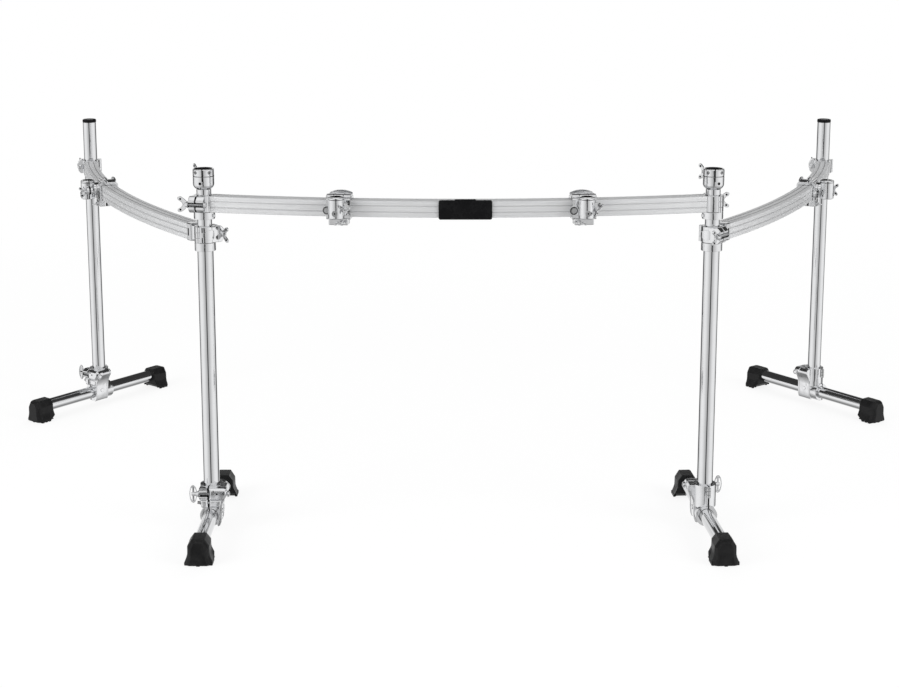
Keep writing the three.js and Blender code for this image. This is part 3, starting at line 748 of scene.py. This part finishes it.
# -------------------------------- legs
def mast(side, place):
    name = f"mast_{side}"
    bottom, top = SIDE_HEIGHT - RAIL_HALF - MAST_INSIDE, 828.4
    wall = [
        (MAST_BORE, bottom), (MAST - 0.4, bottom), (MAST, bottom + 0.4), (MAST, top),
        (MAST_BORE, top),
    ]
    piece(name, "_tube", [spun(wall)], tube_look, name, place)
    bore, wide = 13.2, HEAD_RADIUS
    cup = [
        (16.1, 828), (17.6, 828), (18.6, 829), (20.4, 830.6), (22.6, 833), (24.2, 836), (24.9, 839),
        (wide, 841.5), (wide, 848), (bore, 848), (bore, 831),
    ]
    low_ring = [(bore, 848.02), (wide, 848.02), (wide, 858.2), (24.5, 858.8), (bore, 858.8)]
    top_ring = [
        (bore, 859.4), (24.5, 859.4), (wide, 859.9), (wide, 874.2), (24.6, 875.2), (23.6, HEAD_TOP),
        (14.4, HEAD_TOP), (bore, 875),
    ]
    parts = [spun(cup)] + [spun(outline, ROUND, -87, 354) for outline in (low_ring, top_ring)]
    piece(name, "_look", parts, cast_look, name, place, 30)
    bush = [
        (BUSH_BORE, 842), (13.4, 842), (13.4, 876.1), (14.6, 876.1), (14.6, 876.8),
        (BUSH_BORE, 876.8),
    ]
    piece(name, "_bush", [spun(bush)], bush_look, name, place)
    # Painted shade: black rings in the seam of the head and on its top face, and a black strip in
    # its slit
    slit = soft_box((-1.25, 1.25), (-24.9, -13.6), (848.1, 875.4), 0.1, 1)
    seam_shade = [tube(24.3, 24.75, 858.5, 859.7), tube(14.7, 20.4, 875.9, 876.15), slit]
    piece(name, "_seam_shade", seam_shade, painted_shade_look, name, place)

    def at(bearing, part, y, z):
        return turned(to_front(part, 0, y, z), bearing, "Z")

    # The screws' sockets, the rings round their heads and the hole inside the lower steel ring are
    # painted shade
    screws, hole_shade = [], []
    for bearing in (-40, 40):
        screws.append(at(bearing, dome_head(3.0, 0, 1.3), -24.7, 868.5))
        hole_shade.append(at(bearing, rod(1.7, 0.7, 1.36, sides=6), -24.7, 868.5))
        hole_shade.append(at(bearing, ring(3.0, 3.9, -0.6, 0.35, 0.1), -24.7, 868.5))
    bearing = -12 if side == "left" else 22
    screws.append(at(bearing, ring(3.1, 3.8, 0, 0.55, 0.15), -24.85, 843.5))
    hole_shade.append(at(bearing, rod(3.1, 0, 0.35), -24.9, 843.5))
    piece(name, "_screws", screws, steel_look, name, place)
    piece(name, "_recess_shade", hole_shade, painted_shade_look, name, place)


def stop_ring(side, place):
    name = f"stop_ring_{side}"
    top = FRONT_HEIGHT - RAIL_HALF - SEAT
    low = top - 17.5
    bearing = -28 if side == "left" else 205
    parts = [
        ring(MAST + 0.35, COLLAR_RADIUS, low, top, 1.4, 94, 352),
        soft_box((-12, 12), (23, 25.5), (low + 2, top - 2), 1.0),
        *(turned(to_right(part, 21.5, 0, (low + top) / 2), bearing, "Z") for part in key_head()),
    ]
    piece(name, "_look", parts, cast_look, f"mast_{side}", place)


def head_screw(side, place):
    name = f"mast_wing_screw_{side}"
    bearing, height = 127, 864
    parts = [to_right(part, 25.3) for part in butterfly(*HEAD_WING, 6.6, 8)]
    parts += [to_right(thread(4, 14.5, 30))]
    # The dark discs in the wing's lobes are painted shade for holes
    hole_shade = [to_right(part, 25.3) for part in hole_shade_discs(*HEAD_WING)]
    for part in parts + hole_shade:
        moved(turned(part, bearing, "Z"), 0, 0, height)
    piece(name, "_hole_shade", hole_shade, painted_shade_look, name, place)
    piece(name, "_look", parts, cast_look, name, place)


def inner_leg(side, place):
    name = f"inner_leg_{side}"
    top = SIDE_HEIGHT - RAIL_HALF - SEAT
    low = top - 20
    wall = tube(TUBE_BORE, TUBE, TUBE_BOTTOM, low + 1)
    piece(name, "_look", [wall], tube_look, name, place)
    parts = [
        ring(TUBE + 0.02, COLLAR_RADIUS, low, top, 1.4, 94, 352),
        ring(MAST + 0.2, 24, top - 2.2, top - 0.1, 0.3, 94, 352),
    ]
    parts += [soft_box(x, (24, 27.5), (low + 2, top - 2), 1.2) for x in ((-13, -2), (2, 13))]
    parts.append(to_right(soft_rod(2.6, -16, 17, 0.4), 0, 26.5, (low + top) / 2))
    piece(name, "_collar", parts, cast_look, name, place)


def outer_leg(side, place):
    body, name = f"outer_leg_{side}", f"outer_leg_cap_{side}"
    top = OUTER_TUBE_TOP
    wall = [
        (TUBE_BORE, TUBE_BOTTOM), (TUBE, TUBE_BOTTOM), (TUBE, top - 0.6), (TUBE - 0.5, top),
        (TUBE_BORE, top),
    ]
    piece(body, "_look", [spun(wall)], tube_look, body, place)
    cap = [
        (0, 838.3), (17.2, 838.3), (17.2, 852.3), (19.55, 852.3), (19.55, 857.6), (19.3, 858.8),
        (18.4, 859.8), (17.2, 860.3), (14.5, 860.3), (13.6, 859.9), (0, 859.9),
    ]
    piece(name, "_look", [spun(cap)], cap_look, body, place, 40)


# -------------------------------- T-feet
def faceted(outline, back, shoulder, front, inset):
    """Block along Y whose front steps in to a smaller facet."""
    return soften(stepped(slab(outline, shoulder, back, "Y"), inset, front - shoulder), 1.4, 3, 12)


def half_ring(inner, outer, low, high, right_side):
    """The half of a clamp shell about Z that lies on one side of the slit."""
    angle = degrees(acos(FOOT_SLIT[right_side] / ((inner + outer) / 2)))
    start, turn = (-angle, 2 * angle) if right_side else (angle, 360 - 2 * angle)
    return ring(inner, outer, low, high, 1.4, start, turn)


def foot_shells(right_side):
    """One half of the shell about the leg, and of the sleeve about the foot tube."""
    sleeve = half_ring(FOOT_TUBE + 0.4, 25.8, -32, 32, right_side)
    return [
        half_ring(TUBE + 0.4, 27.4, 57, 112, right_side), to_front(sleeve, 0, 0, FOOT_HEIGHT),
    ]


def foot_waist(right_side):
    """One half of the body between the shell and the sleeve."""
    whole = rod(27.2, 58.2, 65, sides=64)
    outwards = -1 if right_side else 1
    return soften(cut_off(whole, (FOOT_SLIT[right_side], 0, 0), (outwards, 0, 0)), 1.0, 2)


def foot_clamp(name, place):
    left_x, right_x = FOOT_SLIT
    parts = foot_shells(True)
    ear = [
        (right_x, 81), (29, 81), (33, 83.5), (40.5, 94), (42, 98), (42, 105), (39, 109), (34, 111),
        (right_x, 111),
    ]
    parts.append(faceted(ear, -20.5, -37.5, -42.9, 5.2))
    shield = [
        (20.2, 110), (36, 110), (41.4, 104), (41.4, 97), (33, 83), (28.4, 72), (26.6, 60),
        (26.2, 40), (24.6, 26), (21, 17), (17, 14.6), (15.2, 20), (18.6, 34), (18.6, 52),
        (20.2, 62),
    ]
    parts.append(soft_slab(shield, -36, 10, "Y", 2.2, 3))
    border = [(x + 1.2 if x > 20.5 else x, z) for x, z in shield]
    parts += [soft_slab(border, low, low + 4.5, "Y", 1.0, 3) for low in (-35.8, 5.3)]
    parts.append(to_right(soft_rod(6, 22, 27.6, 0.8, 3), 0, -13, 47))
    cheek = [(right_x, 61), (25.6, 61), (28, 72), (29, 82.5), (right_x, 82.5)]
    parts += [faceted(cheek, -20.5, -33, -37.5, 4.5), foot_waist(True)]
    piece(name + "_clamp", "_look", parts, cast_look, name, place)

    parts = foot_shells(False)
    parts.append(lug((-26, left_x), (-43, -20.5), (81, 111), 9.5, -28))
    parts.append(soft_box((-25.5, -21.5), (-24, -4), (82, 110), 1.4))
    cheek = [(-22, 61), (left_x, 60), (left_x, 82.5), (-25, 82)]
    parts += [faceted(cheek, -20.5, -33, -37, 4), foot_waist(False)]
    piece(name + "_clamp_gate", "_look", parts, cast_look, name, place)

    hardware = [to_right(soft_rod(3, -24, 20, 0.3), 0, -30, 73)]
    hardware += [to_left(part, -23.5, -30, 73) for part in key_head()]
    hardware.append(to_front(dome_head(3.4, 0, 1.6), 9, -42.6, 104))
    hinge = [soft_rod(3, 84, 110.6, 0.5)]
    hinge += [soft_rod(5, *ends, 0.8) for ends in ((84.5, 92), (92.6, 101), (101.6, 109))]
    hardware += [moved(part, -4, 29.5) for part in hinge]
    # Painted shade: black pieces in the small sockets, in the gaps between the two halves, along
    # the sleeve's slit and on the floors of the bolt channel
    shade_pieces = [to_front(turned(rod(2.6, 0, 0.5, sides=4), -45, "Z"), 17, -42.8, 98)]
    shade_pieces.append(to_front(rod(1.5, 0, 0.5, sides=6), 9, -44.1, 104))
    low_gap = [
        (-19.8, 58.5), (-32.2, 58.5), (-32.2, 82), (-36.6, 83.5), (-36.6, 90.5), (-19.8, 90.5),
    ]
    high_gap = [(-19.8, 101.5), (-36.6, 101.5), (-36.6, 106), (-33.6, 109), (-19.8, 109.6)]
    inside = (left_x + 0.2, right_x - 0.2)
    shade_pieces += [slab(outline, *inside, "X") for outline in (low_gap, high_gap)]
    shade_pieces.append(box(inside, (19.8, 26.6), (58.5, 84.2)))
    shade_pieces += [box((-5.2, -2.8), (-31.4, 31.4), z) for z in ((15.4, 22.2), (57.9, 64.6))]
    shade_pieces += [box(x, (-28.5, -27.9), (91.6, 100.4)) for x in ((-25.2, -5.6), (-2.4, 4))]
    small_parts(name, hardware, shade_pieces, name, place)


def foot_tube(name, place):
    wall = tube(FOOT_TUBE_BORE, FOOT_TUBE, -FOOT_TUBE_HALF, FOOT_TUBE_HALF)
    parts = [to_front(wall, 0, 0, FOOT_HEIGHT)]
    piece(name + "_tube", "_look", parts, tube_look, name, place)


BOOT_SECTION = [(32, 2.4), (32.5, 5.5), (27.6, 17.5), (25.6, 25), (25.2, 45), (14.5, BOOT_HEIGHT)]
# Distance from the heel, share of the width, rise of the sole
BOOT_STATIONS = [
    (0, 0.95, 12.6), (13, 1.0, 1.8), (17, 1.0, 0), (41, 1.0, 0), (48, 0.94, 0), (52.6, 0.82, 0),
    (55.6, 0.62, 0),
]


def boot(name, body, place):
    """Rubber boot along +Y: its section is pulled from the leaning heel to the blunt toe."""
    bm = bmesh.new()
    outline = BOOT_SECTION + [(-x, z) for x, z in reversed(BOOT_SECTION)]
    loops = []
    for y, wide, lift in BOOT_STATIONS:
        share = (BOOT_HEIGHT - lift - max(0.0, y - 46) * 0.55) / BOOT_HEIGHT
        loops.append([bm.verts.new((x * wide, y, lift + z * share)) for x, z in outline])
    for near, far in zip(loops, loops[1:]):
        for index in range(len(outline)):
            bm.faces.new((near[index - 1], near[index], far[index], far[index - 1]))
    bm.faces.new(loops[0])
    bm.faces.new(loops[-1])
    parts = [soften(closed(bm), 1.6, 3, 9)]
    for x in (-27, -13.5, 0, 13.5, 27):
        parts.append(soft_box((x - 4.4, x + 4.4), (46, 54.4 - abs(x) * 0.3), (0, 7), 1.4))
    for y in (4, 15.5, 27, 38.5):
        for x in (-29.5, 29.5):
            low = 2.5 if y < 10 else 0
            parts.append(soft_box((x - 3, x + 3), (y + low, y + 8), (low * 2, 8), 1.2))
    for side in (-1, 1):
        fold = [(side * 15.4, 44), (side * 18.4, 44), (side * 21.4, 6), (side * 17.6, 6)]
        parts.append(soft_slab(fold, 50.5, 53.2, "Y", 1.0))
    parts.append(to_front(ring(17.9, 21, 0, 2.4, 0.6), 0, 5.4, FOOT_HEIGHT))
    parts = [moved(part, 0, BOOT_START) for part in parts]
    piece(name, "_look", parts, boot_look, body, place, 40)


# -------------------------------- accessory clamps
def jaw(name, place):
    """Jaw round a rail that runs along X: hinge behind the top, ears under it, disc in front."""
    inner, outer, half = 19.65, 25.15, 28
    band = [(-4.3, -outer), *rounded(outer, outer, 5, 6), (-7.3, -outer), (-7.3, -inner)]
    band += [(-inner, -inner), (-inner, inner), (inner, inner), (inner, -inner), (-4.3, -inner)]
    parts = [soft_slab(band, -half, half, "X", 0.9, 2, 40)]
    arch = arc(0, -58, 89.5, 72.5, 107.5, 14) + [(-27, 24.4), (27, 24.4)]
    parts.append(soft_slab(arch, -5.5, 20, "Y", 1.4, 3, 20))
    rib = arc(1, -24, 61.6, 65, 117, 14) + [(-26, 24.6), (26, 24.6)]
    parts += [soft_slab(rib, y, y + 3.2, "Y", 1.0, 2, 20) for y in (-5.2, 17.4)]
    hinge = (0, -13.15, 26.15)
    for ends in ((-half, -11.4), (-10.8, 10.8), (11.4, half)):
        parts.append(to_right(soft_rod(6.5, *ends, 1.0, 3), *hinge))
    parts.append(soft_box((-22.5, 22.5), (-outer, -7.3), (-38, -21), 2.4, 3))
    parts.append(soft_box((-22.5, 22.5), (-4.3, 4), (-38, -21), 2.0, 3))
    disc = soft_rod(17, 19.9, 29.1, 1.0, sides=64)
    parts.append(to_front(disc, 0, 0, RECEIVER_LIFT))
    arm = [(-18, -14), (-26, -13.2), (-33.6, -8), (-34.6, 0), (-31, 6.4), (-24, 8.6), (-18, 8.6)]
    parts.append(soft_slab(arm, -28.2, -19.9, "Y", 1.6, 3))
    piece(name, "_look", parts, cast_look, name, place)

    boss_spot = (-25.4, 0, -3)
    boss = [
        (0, 27.4), (9.3, 27.4), (9.3, 29.8), (8.6, 30.8), (7.2, 31), (6.9, 29.9), (6.2, 29.9),
        (5.8, 31.2), (0, 31.4),
    ]
    hardware = [to_front(spun(boss, 48), *boss_spot)]
    pin = to_right(rod(3, -half - 1.4, half + 1.4), *hinge)
    hardware.append(soften(pin, 0.5, 2))
    side = 1 if name.endswith("left_jaw") else -1
    bolt_x, bolt_z = 10 * side - 2, -31.5
    hardware.append(to_front(thread(3.6, -7.5, 28), bolt_x, 0, bolt_z))
    hardware.append(to_front(soft_rod(6.2, -9.6, -4.2, 0.5, sides=6), bolt_x, 0, bolt_z))
    # Painted shade: black pieces in the gap round the boss, between the ears, in two slots on the
    # front, in the hinge's gaps and under the receiver's disc
    shade_pieces = [to_front(ring(6.9, 9.0, 30.2, 30.95, 0.1), *boss_spot)]
    shade_pieces.append(box((-22, 22), (-7.2, -4.4), (-37.4, -25.4)))
    shade_pieces += [box((x - 1.5, x + 1.5), (-outer - 0.2, -outer + 0.4), (-14, 2)) for x in (20.5, 24.5)]
    shade_pieces += [to_right(rod(6.1, low, low + 0.5), *hinge) for low in (-11.35, 10.85)]
    shade_pieces.append(to_front(rod(15.8, 29.0, 29.5), 0, 0, RECEIVER_LIFT))
    small_parts(name, hardware, shade_pieces, name, place)
    wing_nut(name, place, (31, 13.5, 3.8), 12 * side, (bolt_x, -outer - SEAT, bolt_z))


def receiver(name, place):
    """Socket for an accessory tube, drawn about its swivel axis, above the rail's middle."""
    middle, inner, outer, half = -50.45, 13.1, 18.5, 25
    groove_low, groove_high = half - 6.1, half - 5.4
    section = [
        (inner, -half), (outer - 1.6, -half), (outer, 1.6 - half), (outer, groove_low - 0.4),
        (outer - 0.7, groove_low), (outer - 0.7, groove_high), (outer, groove_high + 0.4),
        (outer, half - 1.6), (outer - 1.6, half), (inner, half),
    ]
    gap = degrees(asin(1.5 / outer))
    parts = [moved(spun(section, ROUND, gap, 360 - 2 * gap), 0, middle)]
    ear = [(14.2, -11.5), *arc(21.5, 0, 11, -78, 78, 10), (14.2, 11.5)]
    for low, high in ((-8, -1.5), (1.5, 8)):
        parts.append(soft_slab(ear, middle + low, middle + high, "Y", 1.5, 3))
    parts.append(to_front(soft_rod(17, 29.45, 37.2, 1.2, sides=64)))
    shoulder = cut_off(tube(inner, 17.8, -16, 16), (0, 0, 0), (0, -1, 0))
    parts.append(moved(soften(shoulder, 0.6, 2), 0, middle + 1.2))
    piece(name, "_look", parts, cast_look, name, place)
    bush = moved(tube(BUSH_BORE, 13.3, -half, half - 6), 0, middle)
    piece(name, "_bush", [bush], bush_look, name, place)
    bolt_x, bolt_z = 23.5, -3.5
    tilt = -42 if name.endswith("left_receiver") else 58
    wing_nut(name, place, (34, 17, 4.0), tilt, (bolt_x, middle - 8.2, bolt_z))
    nut = soft_rod(6, -middle - 12.4, -middle - 8.2, 0.5, sides=6)
    screw = thread(3.4, -middle - 12, -middle + 12)
    hardware = [to_front(part, bolt_x, 0, bolt_z) for part in (screw, nut)]
    stud_spot = (0, 0, -11.5)
    stud = [(0, 67.6), (6.8, 67.6), (6.8, 69.3), (6.2, 70), (4.9, 70), (4.5, 69.2), (0, 69.2)]
    hardware.append(to_front(spun(stud, 40), *stud_spot))
    # Painted shade: black pieces in the gap between the ears, in the stud's socket and the ring
    # round it, and in the groove round the socket
    shade_pieces = [box((18.2, 31), (middle - 1.3, middle + 1.3), (-9.5, 9.5))]
    for mark in (ring(4.6, 6.2, 69.4, 69.95, 0.1), rod(2.2, 69.1, 69.5, sides=6)):
        shade_pieces.append(to_front(mark, *stud_spot))
    shade_pieces.append(moved(tube(17.9, 18.0, groove_low, groove_high), 0, middle))
    small_parts(name, hardware, shade_pieces, name, place)


def name_plate(place):
    """Bare black plate: flat field inside a low rim, with a tab over its top edge."""
    outline = rounded(61, 22.5, 4.4)
    tab = [(-25, 18), (25, 18), (23.4, 24.5), (-23.4, 24.5)]
    parts = [
        soft_slab(outline, -2.4, 0, "Y", 0.5, 2, 50),
        soften(stepped(slab(outline, -3, -1, "Y"), 2.0, 0.7), 0.25, 2, 30),
        soft_slab(tab, -2.2, 0, "Y", 0.6),
    ]
    piece("name_plate", "_look", parts, plate_look, "front_rail", place)


# -------------------------------- the rack
def joint_point(name):
    return Vector(joints[name]["pos_m"])


def joint_axis(name):
    return Vector(joints[name]["axis"])


def end_fitting(name, body, point, height, turn, leg_radius, setback, wing):
    """End clamp of a rail with its wing bolt."""
    place = standing(point, height, turn)
    end_clamp(name, body, place, leg_radius, setback)
    wing_bolt(name + "_wing_bolt", place, wing=wing, **CLAMP_BOLT)


def t_foot(name, point, near, far):
    """T-foot turned as its wing bolt's axis says. Near and far name its boots at -Y and +Y."""
    axis = joint_axis(f"{name}_wing_bolt_turn")
    place = standing(point, 0, atan2(axis.y, axis.x))
    foot_clamp(name, place)
    foot_tube(name, place)
    boot(f"{name}_boot_{far}", name, place)
    boot(f"{name}_boot_{near}", name, place @ Matrix.Rotation(pi, 4, "Z"))
    wing_bolt(name + "_wing_bolt", place, **FOOT_BOLT)


def accessory_clamp(name, height):
    axis, point = joint_axis(f"{name}_swivel"), joint_point(f"{name}_swivel")
    turn = atan2(axis.x, -axis.y)
    jaw(name + "_jaw", standing(point, height, turn))
    receiver(name + "_receiver", standing(point, height + RECEIVER_LIFT, turn))


front_centre = joint_point("front_clamp_left_travel")
front_half = asin(FRONT_HALF_SPAN / RAIL_BEND) - FRONT_SETBACK / RAIL_BEND
side_half = asin(SIDE_HALF_SPAN / RAIL_BEND) - SIDE_SETBACK / RAIL_BEND
rail("front_rail", front_centre, FRONT_HEIGHT, -pi / 2, front_half)

plate_turn = 15 / RAIL_BEND
plate_reach = (RAIL_BEND + RAIL_HALF + SEAT) * MM
plate_spot = front_centre + Vector((sin(plate_turn), -cos(plate_turn), 0)) * plate_reach
name_plate(standing(plate_spot, FRONT_HEIGHT, plate_turn))

for side, sign in (("left", -1), ("right", 1)):
    leg = joint_point(f"inner_foot_{side}_swivel")
    outer = joint_point(f"outer_foot_{side}_swivel")
    fold = sign * FOLD
    upright = standing(leg)

    turn = -front_half if side == "left" else pi + front_half
    end_fitting(
        f"front_rail_{side}_clamp", "front_rail", leg, FRONT_HEIGHT, turn, MAST, FRONT_SETBACK,
        FRONT_WING,
    )
    mast(side, upright)
    stop_ring(side, upright)
    head_screw(side, upright)
    inner_leg(side, upright)
    outer_leg(side, standing(outer))

    body = f"side_rail_{side}"
    side_centre = joint_point(f"side_clamp_{side}_travel")
    rail(body, side_centre, SIDE_HEIGHT, fold - pi / 2, side_half)
    rail_ends = (("inner", sign > 0, leg, MAST), ("outer", sign < 0, outer, TUBE))
    for end, at_left, point, radius in rail_ends:
        turn = fold + (-side_half if at_left else pi + side_half)
        end_fitting(
            f"{body}_{end}_clamp", body, point, SIDE_HEIGHT, turn, radius, SIDE_SETBACK, SIDE_WING,
        )

    near, far = ("front", "rear") if side == "left" else ("rear", "front")
    t_foot(f"inner_foot_{side}", leg, near, far)
    t_foot(f"outer_foot_{side}", outer, near, far)
    accessory_clamp(f"front_clamp_{side}", FRONT_HEIGHT)
    accessory_clamp(f"side_clamp_{side}", SIDE_HEIGHT)


# -------------------------------- room, light and camera
def stage_floor():
    bm = bmesh.new()
    bmesh.ops.create_grid(bm, x_segments=1, y_segments=1, size=30)
    floor = shown("studio_floor", mesh_of("studio_floor", bm))
    made = bpy.data.materials.new("White studio floor")
    made.use_nodes = True
    tree = made.node_tree
    tree.nodes.clear()
    plain = node(tree, "ShaderNodeBsdfDiffuse", {"Color": (0.86, 0.86, 0.86, 1)}).outputs[0]
    bright = node(tree, "ShaderNodeEmission", {"Color": (1, 1, 1, 1)}).outputs[0]
    seen = node(tree, "ShaderNodeLightPath").outputs["Is Camera Ray"]
    away = node(tree, "ShaderNodeVectorMath", {0: object_place(tree)}, operation="LENGTH")
    fade = mapped(tree, away.outputs["Value"], 1.9, 3.6, 0.86, 1)
    surface = mixed(tree, times(tree, seen, fade), plain, bright)
    node(tree, "ShaderNodeOutputMaterial", {"Surface": surface})
    floor.data.materials.append(made)
    floor.visible_glossy = False


def ramp(tree, value, stops):
    """Greys between stops of position and level."""
    made = node(tree, "ShaderNodeValToRGB", {"Fac": value})
    made.color_ramp.interpolation = "LINEAR"
    elements = made.color_ramp.elements
    while len(elements) > 1:
        elements.remove(elements[-1])
    for index, (position, level) in enumerate(stops):
        element = elements[0] if index == 0 else elements.new(position)
        element.position = position
        element.color = (level, level, level, 1)
    return made.outputs["Color"]


def backdrop(tree, colour, strength=1):
    inputs = {"Color": colour, "Strength": strength}
    return node(tree, "ShaderNodeBackground", inputs).outputs[0]


def studio_world():
    """White room. Polished metal sees its dark gaps: camera side, two flags, a band up high."""
    world = bpy.data.worlds.new("White studio")
    bpy.context.scene.world = world
    world.use_nodes = True
    tree = world.node_tree
    tree.nodes.clear()
    direction = node(tree, "ShaderNodeTexCoord").outputs["Generated"]
    direction = node(tree, "ShaderNodeSeparateXYZ", {0: direction})
    x, y, z = (direction.outputs[label] for label in "XYZ")
    to_camera = times(tree, y, -1)
    bearing = calculated(tree, "ARCTAN2", calculated(tree, "ABSOLUTE", x), to_camera)
    around = ramp(tree, calculated(tree, "DIVIDE", bearing, pi), [
        (0, 0.04), (0.03, 0.07), (0.05, 0.55), (0.14, 0.66), (0.2, 0.8), (0.3, 0.95), (0.36, 1),
        (0.52, 1), (0.57, 0.8), (0.665, 0.7), (0.69, 0.04), (0.81, 0.03), (0.85, 0.85), (1, 0.95),
    ])
    below = mapped(tree, z, -0.4, -0.75, 0, 0.75)
    low = blended(tree, below, around, (0.28, 0.28, 0.28))
    over = calculated(tree, "ARCTAN2", z, to_camera)
    sky = ramp(tree, calculated(tree, "DIVIDE", over, pi), [
        (0, 0.06), (0.05, 0.08), (0.08, 0.9), (0.24, 1), (0.28, 1), (0.3, 0.25), (0.34, 0.25),
        (0.36, 1), (0.45, 1), (0.5, 0.7), (0.54, 0.05), (0.62, 0.04), (0.9, 0.04), (0.95, 0.9),
        (1, 1),
    ])
    polished = backdrop(tree, blended(tree, mapped(tree, z, 0, 0.1, 0, 1), low, sky))
    soft, white = backdrop(tree, (1, 1, 1, 1), 0.72), backdrop(tree, (1, 1, 1, 1))
    paths = node(tree, "ShaderNodeLightPath").outputs
    lit = mixed(tree, paths["Is Glossy Ray"], soft, polished)
    direct = plus(tree, paths["Is Camera Ray"], paths["Is Transmission Ray"], True)
    surface = mixed(tree, direct, lit, white)
    node(tree, "ShaderNodeOutputWorld", {"Surface": surface})


def soft_lamp(name, place, size, power):
    """Round area lamp aimed at the middle of the rack. Its own disc isn't mirrored in the metal."""
    lamp = bpy.data.lights.new(name, "AREA")
    lamp.shape = "DISK"
    lamp.size = size
    lamp.energy = power
    made = shown(name, lamp)
    made.visible_glossy = False
    made.location = place
    aim = Vector((0, 0, 0.5)) - Vector(place)
    made.rotation_euler = aim.to_track_quat("-Z", "Y").to_euler()


def studio_camera():
    """Camera fitted to the photograph, with a part of its upward shift turned into pitch."""
    focal_pixels, width_pixels, pitch = 1688.8, 899, 10.57
    lens = bpy.data.cameras.new("studio_camera")
    lens.sensor_width = 36
    lens.lens = 36 * focal_pixels / width_pixels
    lens.shift_y = -0.14
    lens.clip_end = 100
    camera = shown("studio_camera", lens)
    camera.location = (-0.0194, -4.3714, 1.4811)
    camera.rotation_euler = (radians(90 - pitch), 0, 0)
    bpy.context.scene.camera = camera


stage_floor()
studio_world()
soft_lamp("key_softbox", (-3.8, -2.8, 2.2), 2.6, 122)
soft_lamp("fill_softbox", (3.8, -2.8, 2.2), 2.6, 104)
soft_lamp("back_softbox", (0.5, 4.2, 3.4), 3.4, 60)
studio_camera()
bpy.context.scene.view_settings.view_transform = "Standard"
